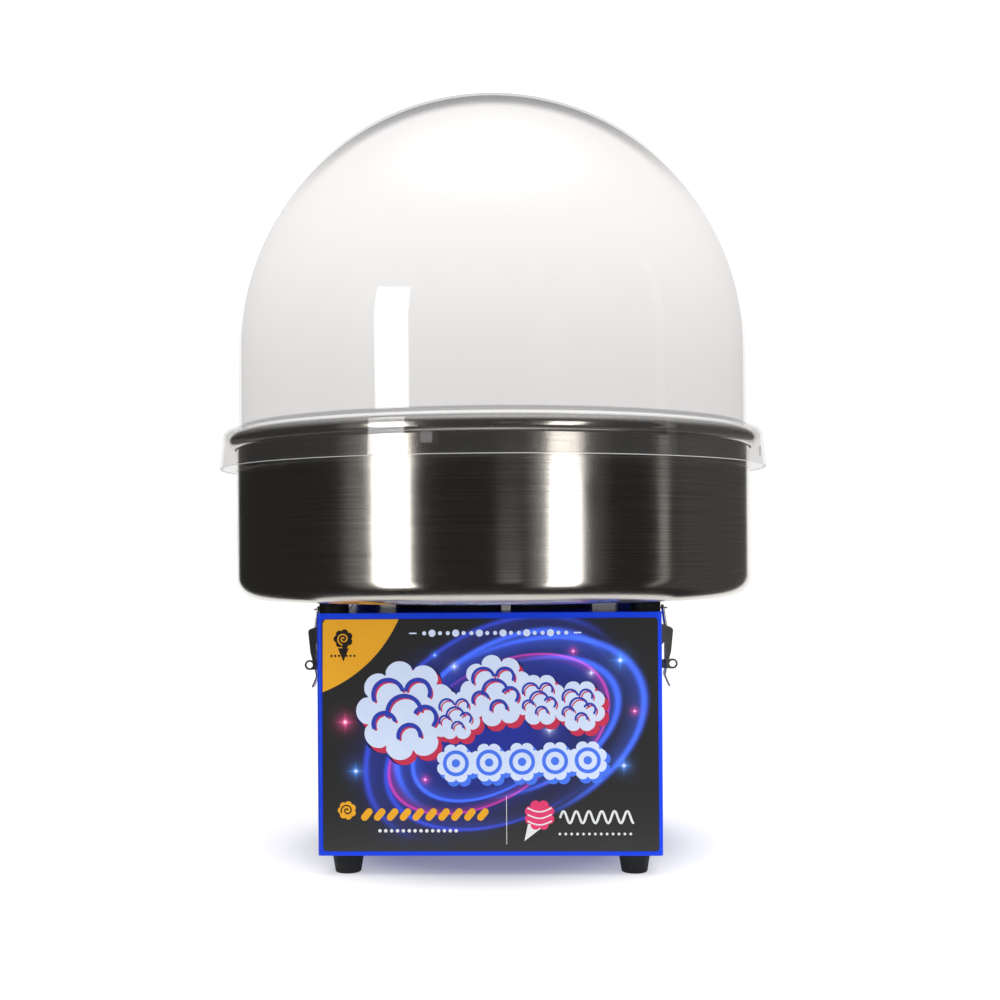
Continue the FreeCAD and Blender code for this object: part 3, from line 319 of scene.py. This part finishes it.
def thread_light(g, x, z, middle, half_axes, tilt, width, brightest, colour):
    """The light of one elliptical thread of sugar, as a colour."""
    cx, cz = on_art(*middle)
    dx, dz = g.math("SUBTRACT", x, cx), g.math("SUBTRACT", z, cz)
    cosine, sine = math.cos(math.radians(tilt)), math.sin(math.radians(tilt))
    along = g.math("ADD", g.math("MULTIPLY", dx, cosine), g.math("MULTIPLY", dz, sine))
    beside = g.math("SUBTRACT", g.math("MULTIPLY", dz, cosine), g.math("MULTIPLY", dx, sine))
    long_share = g.math("DIVIDE", along, half_axes[0] * ART_HEIGHT)
    short_share = g.math("DIVIDE", beside, half_axes[1] * ART_HEIGHT)
    reach = g.math("SQRT", g.math("ADD", g.math("MULTIPLY", long_share, long_share),
                                  g.math("MULTIPLY", short_share, short_share)))
    off = g.math("DIVIDE", g.math("SUBTRACT", reach, 1.0), width * 1.8)
    core = g.math("EXPONENT", g.math("MULTIPLY", g.math("MULTIPLY", off, off), -1.0))
    inner = g.math("MULTIPLY", g.between(off, -9.0, 0.0), g.math("LESS_THAN", off, 0.0))
    core = g.math("ADD", core, g.math("MULTIPLY", inner, 0.22))
    turn = g.math("ARCTAN2", short_share, long_share)
    turn = g.math("SUBTRACT", turn, math.radians(brightest - tilt))
    bright = g.between(g.math("COSINE", turn), -0.35, 0.75)
    return g.mix(g.math("MULTIPLY", core, bright), grey(0.0), colour)


def sparkle_light(g, x, z, place, size, colour):
    """A star: a soft glow, a bright middle and two thin rays."""
    cx, cz = on_art(*place)
    reach = size * ART_HEIGHT
    dx = g.math("ABSOLUTE", g.math("DIVIDE", g.math("SUBTRACT", x, cx), reach))
    dz = g.math("ABSOLUTE", g.math("DIVIDE", g.math("SUBTRACT", z, cz), reach))
    far = g.math("SQRT", g.math("ADD", g.math("MULTIPLY", dx, dx), g.math("MULTIPLY", dz, dz)))
    halo = g.math("MULTIPLY", g.math("EXPONENT", g.math("MULTIPLY", far, -3.2)), 0.95)
    middle = g.math("EXPONENT", g.math("MULTIPLY", g.math("MULTIPLY", far, far), -60.0))
    cross = g.math("MULTIPLY", g.math("MULTIPLY", dx, dz), 55.0)
    rays = g.math("EXPONENT", g.math("MULTIPLY", cross, -1.0))
    rays = g.math("MULTIPLY", rays, g.between(far, 1.25, 0.1))
    glow = g.mix(g.math("ADD", halo, g.math("MULTIPLY", rays, 0.5), clamp=True), grey(0.0), colour)
    return g.mix(middle, glow, grey(0.95))


def art_sheet(name):
    """Charcoal print with a blue glow, sugar threads and sparkles."""
    material, g = new_material(name)
    x, _, z = g.add("SeparateXYZ", Vector=g.place()).outputs
    cx, cz = on_art(0.50, 0.54)
    dx = g.math("DIVIDE", g.math("SUBTRACT", x, cx), 0.47 * ART_WIDTH)
    dz = g.math("DIVIDE", g.math("SUBTRACT", z, cz), 0.52 * ART_HEIGHT)
    lean = g.math("SUBTRACT", dz, g.math("MULTIPLY", dx, 0.38))
    far = g.math("SQRT", g.math("ADD", g.math("MULTIPLY", dx, dx), g.math("MULTIPLY", lean, lean)))
    cloud = g.noise(g.place(), 14.0, 3.0, 0.55)
    uneven = g.math("MULTIPLY", g.math("SUBTRACT", cloud, 0.5), 0.35)
    glow = g.between(g.math("ADD", far, uneven), 1.02, 0.15)
    colour = g.mix(glow, rgb(40, 40, 40), rgb(34, 48, 150))
    for thread in THREADS:
        colour = g.mix(1.0, colour, thread_light(g, x, z, *thread), "ADD")
    for sparkle in SPARKLES:
        colour = g.mix(1.0, colour, sparkle_light(g, x, z, *sparkle), "ADD")
    film = g.noise(g.place(), 1400.0, 2.0)
    g.finish(g.add("BsdfPrincipled", Base_Color=colour, Roughness=0.38,
                   Normal=g.bump(film, 0.05, 0.0002)))
    return material


FINISHES = {
    "spun_stainless": spun_stainless,
    "clear_polycarbonate": clear_polycarbonate,
    "blue_powder_coat": powder_coat,
    "art_sheet": art_sheet,
    "laminated_steel": laminated_steel,
    "circuit_board": circuit_board,
    "latch_steel": lambda name: metal(name, rgb(212, 211, 206), 0.2, wear=0.3),
    "bearing_steel": lambda name: metal(name, rgb(196, 198, 202), 0.2, wear=0.15),
    "cast_aluminium": lambda name: metal(name, rgb(206, 208, 210), 0.34, grain=700.0, relief=0.2),
    "brass": lambda name: metal(name, rgb(214, 176, 96), 0.28),
    "heater_alloy": lambda name: metal(name, rgb(150, 140, 130), 0.42, wear=0.4),
    "black_rubber": lambda name: moulded(name, rgb(17, 18, 20), 0.62, relief=0.25, specular=0.3),
    "white_nylon": lambda name: moulded(name, rgb(232, 228, 218), 0.42),
    "motor_paint": lambda name: moulded(name, rgb(38, 40, 44), 0.36),
    "phenolic": lambda name: moulded(name, rgb(52, 34, 24), 0.45),
    "carbon": lambda name: moulded(name, rgb(30, 30, 32), 0.55),
    "switch_black": lambda name: moulded(name, rgb(20, 20, 22), 0.4),
    "rocker_red": lambda name: moulded(name, rgb(190, 22, 20), 0.25),
    "knob_black": lambda name: moulded(name, rgb(18, 18, 20), 0.35),
}
finishes = {slot: build(slot + "_finish") for slot, build in FINISHES.items()}

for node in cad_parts.values():
    for holder in node.material_slots:
        holder.material = finishes[holder.material.name]

# Three nodes look unlike the rest of their slot: milkier, or duller.
SPECIAL = {"dome_skirt_pads": clear_polycarbonate("pad_finish", 0.86, 0.10),
           "bowl_strap": metal("strap_finish", rgb(176, 176, 172), 0.3),
           "strap_rivets": metal("strap_rivet_finish", rgb(196, 196, 192), 0.3)}
for name, finish in SPECIAL.items():
    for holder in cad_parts[name].material_slots:
        holder.material = finish


# ------------------------------------------------------------- turned shells

def arc(middle, radius, start, end, steps):
    """Points of an arc in the (radius, height) plane, angles in degrees."""
    points = []
    for step in range(steps + 1):
        turn = math.radians(start + (end - start) * step / steps)
        points.append((middle[0] + radius * math.cos(turn), middle[1] + radius * math.sin(turn)))
    return points


def turned(name, profile, body, slot, replaced):
    """A shell turned about Z from a closed outline of (radius, height)."""
    segments, sharp = 288, math.radians(40)
    mesh = bpy.data.meshes.new(name)
    build = bmesh.new()
    rings = []
    for radius, height in profile:
        if radius < 1e-6:
            rings.append([build.verts.new((0, 0, height))])
            continue
        ring = []
        for step in range(segments):
            turn = 2 * math.pi * step / segments
            ring.append(build.verts.new((radius * math.cos(turn), radius * math.sin(turn), height)))
        rings.append(ring)
    for low, high in zip(rings, rings[1:] + rings[:1]):
        for step in range(segments):
            after = (step + 1) % segments
            if len(low) == 1 and len(high) == 1:
                break
            if len(low) == 1:
                build.faces.new((low[0], high[after], high[step]))
            elif len(high) == 1:
                build.faces.new((low[step], low[after], high[0]))
            else:
                build.faces.new((low[step], low[after], high[after], high[step]))
    bmesh.ops.recalc_face_normals(build, faces=build.faces)
    for face in build.faces:
        face.smooth = True
    build.to_mesh(mesh)
    build.free()
    mesh.set_sharp_from_angle(angle=sharp)
    piece = bpy.data.objects.new(name, mesh)
    bpy.context.scene.collection.objects.link(piece)
    mesh.materials.append(finishes[slot])
    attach(piece, body)
    if replaced:
        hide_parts(*replaced)
    return piece


def make_bowl():
    """The spun pan: flat floor, bent corner, straight wall, rolled bead."""
    low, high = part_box("bowl")
    gauge, corner, bead = 1.5 * MM, 28 * MM, 10 * MM
    wall = high.x - bead
    floor, bead_z = low.z, high.z - bead
    hole = 105 * MM
    inner = bead - gauge
    curl_end = math.radians(-80)
    outline = [(hole, floor)]
    outline += arc((wall - corner, floor + corner), corner, -90, 0, 14)
    outline += [(wall, bead_z + inner)]
    outline += arc((wall, bead_z), inner, 90, -80, 20)
    outline += [(wall + bead * math.cos(curl_end), bead_z + bead * math.sin(curl_end))]
    outline += arc((wall, bead_z), bead, -80, 90, 28)[1:]
    outline += arc((wall, bead_z + inner), gauge, 90, 180, 4)[1:]
    outline += [(wall - gauge, floor + corner)]
    outline += arc((wall - corner, floor + corner), corner - gauge, 0, -90, 14)[1:]
    outline += [(hole, floor + gauge)]
    return turned("spun_bowl", outline, "bowl", "spun_stainless", ["bowl"])


def make_dome():
    """The blown dome: half ball, straight wall, flange and outer skirt."""
    low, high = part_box("dome")
    gauge, flange_corner, foot_bend = 3.2 * MM, 8 * MM, 5 * MM
    skirt, bottom = high.x, low.z
    radius = 326 * MM
    spring = high.z - radius
    skirt_lean, skirt_depth = 4.5 * MM, 45 * MM
    skirt_top = skirt - skirt_lean
    seat = bottom + skirt_depth
    top = seat + gauge
    lip, seat_round, crown_steps = 0.8 * MM, 1.5 * MM, 64
    outline = [(radius - gauge, seat + seat_round)]
    outline += arc((radius - gauge + seat_round, seat + seat_round), seat_round, 180, 270, 4)[1:]
    outline += arc((skirt_top - flange_corner, top - flange_corner), flange_corner - gauge, 90, 0, 8)
    outline += [(skirt - gauge, bottom + lip), (skirt, bottom + lip)]
    outline += arc((skirt_top - flange_corner, top - flange_corner), flange_corner, 0, 90, 12)
    outline += arc((radius + foot_bend, top + foot_bend), foot_bend, 270, 180, 8)
    outline += arc((0, spring), radius, 0, 90, crown_steps)
    outline[-1] = (0, spring + radius)
    outline += arc((0, spring), radius - gauge, 90, 0, crown_steps)
    outline[-crown_steps - 1] = (0, spring + radius - gauge)
    turned("blown_dome", outline, "dome", "clear_polycarbonate", ["dome"])
    ring = [(skirt - gauge, bottom + 0.95 * lip), (skirt - gauge, bottom + lip / 2)]
    ring += [(skirt - gauge + lip / 2, bottom), (skirt - lip / 2, bottom), (skirt, bottom + lip / 2)]
    ring += [(skirt, bottom + 0.95 * lip)]
    edge = turned("dome_cut_edge", ring, "dome", "clear_polycarbonate", [])
    edge.data.materials[0] = clear_polycarbonate("cut_edge_finish", 0.95, 0.35)


make_bowl()
make_dome()


# ------------------------------------------------------------ printed shapes

def printed(name, outlines, colour, layer):
    """A layer of ink on the art sheet: closed outlines in sheet shares."""
    thickness, overlap_step = 0.03 * MM, 0.004 * MM
    mesh = bpy.data.meshes.new(name)
    build = bmesh.new()
    for number, outline in enumerate(outlines):
        front = art_low.y - layer * thickness - (number % 6) * overlap_step
        corners = [on_art(across, up) for across, up in outline]
        face = [build.verts.new((x, front, z)) for x, z in corners]
        back = [build.verts.new((x, front + 0.6 * thickness, z)) for x, z in corners]
        build.faces.new(face)
        build.faces.new(back[::-1])
        for place in range(len(corners)):
            build.faces.new((face[place - 1], face[place], back[place], back[place - 1]))
    bmesh.ops.recalc_face_normals(build, faces=build.faces)
    build.to_mesh(mesh)
    build.free()
    piece = bpy.data.objects.new(name, mesh)
    bpy.context.scene.collection.objects.link(piece)
    mesh.materials.append(colour)
    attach(piece, "cabinet")
    return piece


SQUASH = ART_HEIGHT / ART_WIDTH     # a share of the height, as one of the width


def disc(middle, radius, steps=40):
    """A round outline; radius is a share of the sheet's height."""
    points = []
    for step in range(steps):
        turn = 2 * math.pi * step / steps
        points.append((middle[0] + radius * SQUASH * math.cos(turn), middle[1] + radius * math.sin(turn)))
    return points


def stroke(path, width):
    """The outline of a round-ended line along a path, in height shares."""
    left, right = [], []
    count = len(path)
    for place, (x, z) in enumerate(path):
        x0, z0 = path[max(place - 1, 0)]
        x1, z1 = path[min(place + 1, count - 1)]
        length = math.hypot(x1 - x0, z1 - z0)
        nx, nz = -(z1 - z0) / length, (x1 - x0) / length
        left.append((x + nx * width / 2, z + nz * width / 2))
        right.append((x - nx * width / 2, z - nz * width / 2))
    cap_end = round_cap(path[-1], left[-1], right[-1])
    cap_start = round_cap(path[0], right[0], left[0])
    return left + cap_end + right[::-1] + cap_start


def round_cap(middle, start, end, steps=8):
    """The points of a half circle from start to end, clockwise."""
    radius = math.hypot(start[0] - middle[0], start[1] - middle[1])
    first = math.atan2(start[1] - middle[1], start[0] - middle[0])
    points = []
    for step in range(1, steps):
        turn = first - math.pi * step / steps
        points.append((middle[0] + radius * math.cos(turn), middle[1] + radius * math.sin(turn)))
    return points


def placed(outline, middle, shift=(0, 0)):
    """An outline in height shares, put at a place on the sheet."""
    return [(middle[0] + (x + shift[0]) * SQUASH, middle[1] + z + shift[1]) for x, z in outline]


def spiral(inner, outer, turns, start, steps=72):
    """A spiral path from its middle outwards, angles in degrees."""
    points = []
    for step in range(steps + 1):
        share = step / steps
        turn = math.radians(start) + 2 * math.pi * turns * share
        reach = inner + (outer - inner) * share
        points.append((reach * math.cos(turn), reach * math.sin(turn)))
    return points


def puff(radius, lobes, steps=12):
    """A cloud outline: a ring of round lobes that meet in notches."""
    points = []
    for step in range(lobes * steps):
        turn = 2 * math.pi * step / (lobes * steps)
        reach = radius * (0.80 + 0.20 * abs(math.sin(lobes * turn / 2)) ** 0.6)
        points.append((reach * math.cos(turn), reach * math.sin(turn)))
    return points


inks = {
    "gold": ink("gold_ink", rgb(232, 168, 34), rgb(226, 158, 28)),
    "dark": ink("dark_ink", rgb(34, 30, 26)),
    "white": ink("white_ink", rgb(214, 226, 246), rgb(198, 212, 244)),
    "crimson": ink("crimson_ink", rgb(206, 52, 84), rgb(184, 40, 74)),
    "navy": ink("navy_ink", rgb(28, 34, 96), rgb(22, 28, 84)),
    "blue": ink("blue_ink", rgb(70, 118, 240)),
    "indigo": ink("indigo_ink", rgb(44, 62, 176)),
    "pink": ink("pink_ink", rgb(224, 58, 110)),
    "pale": ink("pale_ink", rgb(226, 228, 230)),
}


def print_corner():
    """The gold corner with a small dark puff on a cone."""
    reach_across, reach_down, bulge = 0.23, 0.315, 0.10
    first = Vector((reach_across / SQUASH, 1.0))
    last = Vector((0.0, 1.0 - reach_down))
    chord = last - first
    sagitta = bulge * chord.length
    radius = chord.length ** 2 / (8 * sagitta) + sagitta / 2
    outward = Vector((-chord.y, chord.x)).normalized()
    if outward.x < 0:
        outward = -outward
    middle = (first + last) / 2 - outward * (radius - sagitta)
    start = math.atan2(first.y - middle.y, first.x - middle.x)
    end = math.atan2(last.y - middle.y, last.x - middle.x)
    edge = arc(middle, radius, math.degrees(start), math.degrees(end), 24)
    margin, top_edge = 0.0012, 0.9985
    outline = [(0.004 * SQUASH, 0.985), (0.0145 * SQUASH, top_edge)]
    outline += [(max(x * SQUASH, margin), min(z, top_edge)) for x, z in edge]
    printed("print_gold_corner", [outline], inks["gold"], 1)
    centre = (0.064, 0.915)
    printed("print_corner_puff", [placed(puff(0.042, 7), centre)], inks["dark"], 2)
    cone = [(-0.024, -0.040), (0.024, -0.040), (0.0, -0.098)]
    printed("print_corner_cone", [placed(cone, centre)], inks["dark"], 2)
    curl = stroke(spiral(0.003, 0.026, 1.6, 40), 0.0055)
    printed("print_corner_curl", [placed(curl, centre)], inks["gold"], 3)
    dots = [disc((0.028 + 0.0115 * number, 0.842), 0.0052, 16) for number in range(7)]
    printed("print_corner_dots", dots, inks["dark"], 2)


def print_heading():
    """A dash, a row of beads and a dash along the top."""
    level = 0.9375
    dashes = []
    for across in (0.272, 0.762):
        dashes.append(placed(stroke([(-0.014, 0), (0.014, 0)], 0.006), (across, level)))
    printed("print_heading_dashes", dashes, inks["white"], 1)
    beads = []
    for number in range(19):
        across = 0.306 + 0.0235 * number
        tall = number % 3 == 1
        size = 0.0155 if tall else 0.0088
        beads.append(disc((across, level), size, 24))
    printed("print_heading_beads", beads, inks["white"], 1)


# The big puffs of spun sugar: middle in sheet shares, radius as a share of
# the height, and number of lobes.
PUFFS = [
    ((0.250, 0.605), 0.215, 9), ((0.400, 0.585), 0.108, 8), ((0.520, 0.690), 0.155, 9),
    ((0.650, 0.650), 0.112, 8), ((0.768, 0.622), 0.112, 8),
]
SWEETS = [(0.398, 0.378), (0.497, 0.381), (0.595, 0.384), (0.693, 0.387), (0.790, 0.390)]

# The billows drawn inside a puff: middle, size and the arc's two ends.
BILLOWS = [
    ((-0.34, 0.30), 0.30, 200, 20), ((0.26, 0.36), 0.24, 170, -20), ((-0.02, -0.06), 0.34, 190, 10),
    ((0.40, -0.16), 0.22, 150, -40), ((-0.42, -0.28), 0.22, 200, 20), ((0.08, -0.52), 0.22, 190, 0),
]


def print_puffs():
    """Large white puffs with a crimson shade, a dark edge and billows inside."""
    edges, shades, faces, lines, echoes = [], [], [], [], []
    for middle, radius, lobes in PUFFS:
        edges.append(placed(puff(radius * 1.05, lobes), middle, (0.010, -0.012)))
        shades.append(placed(puff(radius, lobes), middle, (0.018, -0.022)))
        faces.append(placed(puff(radius, lobes), middle))
        for (across, up), size, start, end in BILLOWS:
            path = arc((across * radius, up * radius), size * radius, start, end, 24)
            lines.append(placed(stroke(path, radius * 0.085), middle, (-0.003, 0.004)))
            echoes.append(placed(stroke(path, radius * 0.055), middle, (0.005, -0.005)))
    printed("print_puff_edges", edges, inks["navy"], 1)
    printed("print_puff_shades", shades, inks["crimson"], 2)
    printed("print_puff_faces", faces, inks["white"], 3)
    printed("print_puff_curls", echoes, inks["crimson"], 4)
    printed("print_puff_hollows", lines, inks["indigo"], 5)


def print_sweets():
    """A row of round white sweets with a blue shade, below the puffs."""
    shades, faces, rings, gaps, dots = [], [], [], [], []
    for middle in SWEETS:
        shades.append(placed(puff(0.088, 8), middle, (0.014, -0.016)))
        faces.append(placed(puff(0.085, 8), middle))
        rings.append(disc(middle, 0.056))
        gaps.append(disc(middle, 0.040))
        dots.append(disc(middle, 0.018, 24))
    printed("print_sweet_shades", shades, inks["blue"], 6)
    printed("print_sweet_faces", faces, inks["white"], 7)
    printed("print_sweet_rings", rings, inks["blue"], 8)
    printed("print_sweet_gaps", gaps, inks["white"], 9)
    printed("print_sweet_dots", dots, inks["blue"], 10)


def print_foot():
    """The lower band: gold bars, a dividing line and a pink puff."""
    mark = (0.072, 0.176)
    printed("print_gold_puff", [placed(puff(0.040, 7), mark)], inks["gold"], 1)
    curl = stroke(spiral(0.003, 0.026, 1.5, 20), 0.006)
    printed("print_gold_curl", [placed(curl, mark)], inks["dark"], 2)
    bars = []
    for number in range(10):
        across = 0.131 + 0.0385 * number
        bars.append(placed(stroke([(-0.010, -0.012), (0.010, 0.012)], 0.030), (across, 0.158)))
    printed("print_gold_bars", bars, inks["gold"], 1)
    dots = [disc((0.170 + 0.0175 * number, 0.088), 0.0075, 18) for number in range(14)]
    printed("print_left_dots", dots, inks["pale"], 1)
    line = [(0.5472, 0.030), (0.5488, 0.030), (0.5488, 0.238), (0.5472, 0.238)]
    printed("print_divider", [line], inks["pale"], 1)
    centre = (0.646, 0.155)
    cone = [(-0.048, -0.030), (0.012, -0.052), (-0.066, -0.112)]
    printed("print_pink_cone", [placed(cone, centre)], inks["pale"], 1)
    printed("print_pink_puff", [placed(puff(0.066, 8), centre)], inks["pink"], 2)
    bands = []
    for number in range(3):
        level = 0.030 - 0.028 * number
        path = []
        for step in range(9):
            path.append((-0.050 + 0.0125 * step, level - 0.016 * math.sin(math.pi * step / 8)))
        bands.append(placed(stroke(path, 0.006), centre))
    printed("print_pink_bands", bands, inks["pale"], 3)
    wave = [(-0.155 + 0.0042 * step, 0.026 * math.sin(2 * math.pi * step / 13)) for step in range(75)]
    printed("print_right_wave", [placed(stroke(wave, 0.010), (0.815, 0.146))], inks["pale"], 1)
    small = [disc((0.706 + 0.0175 * number, 0.074), 0.0058, 18) for number in range(13)]
    printed("print_right_dots", small, inks["pale"], 1)


print_corner()
print_heading()
print_puffs()
print_sweets()
print_foot()


# ---------------------------------------------------------- studio and camera

# What the steel mirrors: azimuth from the front, half width, lowest and
# highest elevation, softness (all in degrees) and brightness.
WINDOWS = [
    (-42.0, 7.3, -30, 20.5, 1.0, 5.5),      # the tall soft box on the left
    (-55, 4, -30, 24.0, 9.0, 0.16),         # its spill
    (32.3, 6.4, -30, 5.5, 1.0, 4.0),        # the low soft box on the right
    (26, 2, -30, 5.5, 11.0, 0.25),          # its spill, both sides
    (45, 3, -30, 30, 5.0, 0.05),
    (8.5, 4.0, -14, -3.6, 1.5, 0.22),       # a dim card in front, for the latch
    (79.5, 1.5, -30, 30, 2.0, 0.32),        # a narrow strip to the right
    (122, 30, -30, 30, 12.0, 0.05),         # a pale wall behind it
]


def make_world():
    """White backdrop to look at; to mirror, a dark room with soft boxes in it,
    a lit backdrop behind the machine and a pale ceiling."""
    world = bpy.data.worlds.new("studio")
    world.use_nodes = True
    bpy.context.scene.world = world
    g = Graph(world.node_tree)
    direction = g.add("TexCoord").outputs["Generated"]
    x, y, z = g.add("SeparateXYZ", Vector=direction).outputs
    azimuth = g.math("MULTIPLY", g.math("ARCTAN2", x, g.math("MULTIPLY", y, -1.0)), 180 / math.pi)
    elevation = g.math("MULTIPLY", g.math("ARCSINE", z), 180 / math.pi)

    def window(middle, half_width, low, high, soft, level):
        off = g.math("ABSOLUTE", g.math("SUBTRACT", azimuth, middle))
        across = g.between(off, half_width + soft, half_width)
        over, under = g.between(elevation, low - soft, low), g.between(elevation, high + soft, high)
        return g.math("MULTIPLY", g.math("MULTIPLY", across, g.math("MULTIPLY", over, under)), level)

    room = grey(0.027)
    for box in WINDOWS:
        room = g.mix(1.0, room, window(*box), "ADD")
    behind = g.between(g.math("ABSOLUTE", azimuth), 152, 156, 0.0, 1.1)
    backdrop = g.math("MULTIPLY", behind, g.between(elevation, 24, 18))
    ceiling = g.between(elevation, 50, 70, 0.0, 0.8)
    room = g.mix(1.0, room, g.math("ADD", backdrop, ceiling), "ADD")
    ray = g.add("LightPath")
    white = g.between(elevation, 5.0, 15.0, 1.0, 1.38)
    scattered = g.math("GREATER_THAN", ray.outputs["Diffuse Depth"], 0.5)
    colour = g.mix(scattered, room, grey(0.5))
    colour = g.mix(ray.outputs["Is Camera Ray"], colour, white)
    background = g.add("Background", Color=colour)
    output = g.add("OutputWorld")
    g.tree.links.new(background.outputs[0], output.inputs["Surface"])


def area_light(name, place, target, size, power):
    light = bpy.data.lights.new(name, "AREA")
    light.shape = "RECTANGLE"
    light.size, light.size_y = size
    light.energy = power
    lamp = bpy.data.objects.new(name, light)
    lamp.location = place
    lamp.rotation_euler = (Vector(target) - Vector(place)).to_track_quat("-Z", "Y").to_euler()
    lamp.visible_glossy = False
    lamp.visible_transmission = False
    bpy.context.scene.collection.objects.link(lamp)


def make_floor():
    """A pale lit floor that glows of itself as painted light, the glow turned down
    below the cabinet as a painted shadow; only its near part is mirrored in the bowl."""
    near, far = 0.42, 14.0
    material, g = new_material("floor_paper")
    paper = g.noise(g.place(), 60.0, 3.0)
    _, _, radius = g.around_axis()
    # Painted light and painted shadow: the floor's own glow is weak below the cabinet and rises further
    # out.
    glow = g.between(radius, 0.14, 0.31, 0.18, 0.64)
    g.finish(g.add("BsdfPrincipled", Base_Color=g.mix(paper, grey(0.44), grey(0.46)), Roughness=0.9,
                   Specular_IOR_Level=0.1, Emission_Color=grey(1.0), Emission_Strength=glow))
    distant, g = new_material("floor_distance")
    g.finish(g.add("Emission", Color=grey(1.0), Strength=1.05))
    for name, inner, outer in (("floor_near", 0.0, near), ("floor_far", near, far)):
        mesh = bpy.data.meshes.new(name)
        build = bmesh.new()
        rim = bmesh.ops.create_circle(build, segments=96, radius=outer)["verts"]
        if inner:
            bmesh.ops.create_circle(build, segments=96, radius=inner)
            bmesh.ops.bridge_loops(build, edges=build.edges)
        else:
            build.faces.new(rim)
        build.to_mesh(mesh)
        build.free()
        floor = bpy.data.objects.new(name, mesh)
        bpy.context.scene.collection.objects.link(floor)
        mesh.materials.append(distant if inner else material)
        floor.visible_diffuse = False
        floor.visible_glossy = floor.visible_transmission = not inner


def make_camera():
    """Level, at the middle of the machine, a little to its right."""
    distance, height, turn, roll = 1.90, 0.384, math.radians(1.85), math.radians(-0.38)
    lens = bpy.data.cameras.new("camera")
    lens.sensor_width = 36.0
    lens.lens = 52.4
    lens.shift_x = 0.0064
    lens.shift_y = 0.048
    camera = bpy.data.objects.new("camera", lens)
    place = Vector((distance * math.sin(turn), -distance * math.cos(turn), height))
    aim = Matrix.Rotation(turn, 4, "Z") @ Matrix.Rotation(math.pi / 2, 4, "X")
    aim = aim @ Matrix.Rotation(roll, 4, "Z")
    camera.matrix_world = Matrix.Translation(place) @ aim
    bpy.context.scene.collection.objects.link(camera)
    bpy.context.scene.camera = camera


make_world()
make_floor()
make_camera()
area_light("overhead", (0, -0.3, 2.6), (0, 0, 0), (3.2, 3.2), 95)
area_light("front_left", (-1.7, -2.2, 0.5), (0, 0, 0.25), (0.8, 0.6), 5)
area_light("front_right", (1.4, -2.3, 0.5), (0, 0, 0.3), (0.8, 0.4), 26)
area_light("right_side", (2.2, -0.7, 0.5), (0.2, -0.1, 0.25), (0.6, 0.6), 15)

view = bpy.context.scene.view_settings
view.view_transform = "Standard"
view.look = "None"
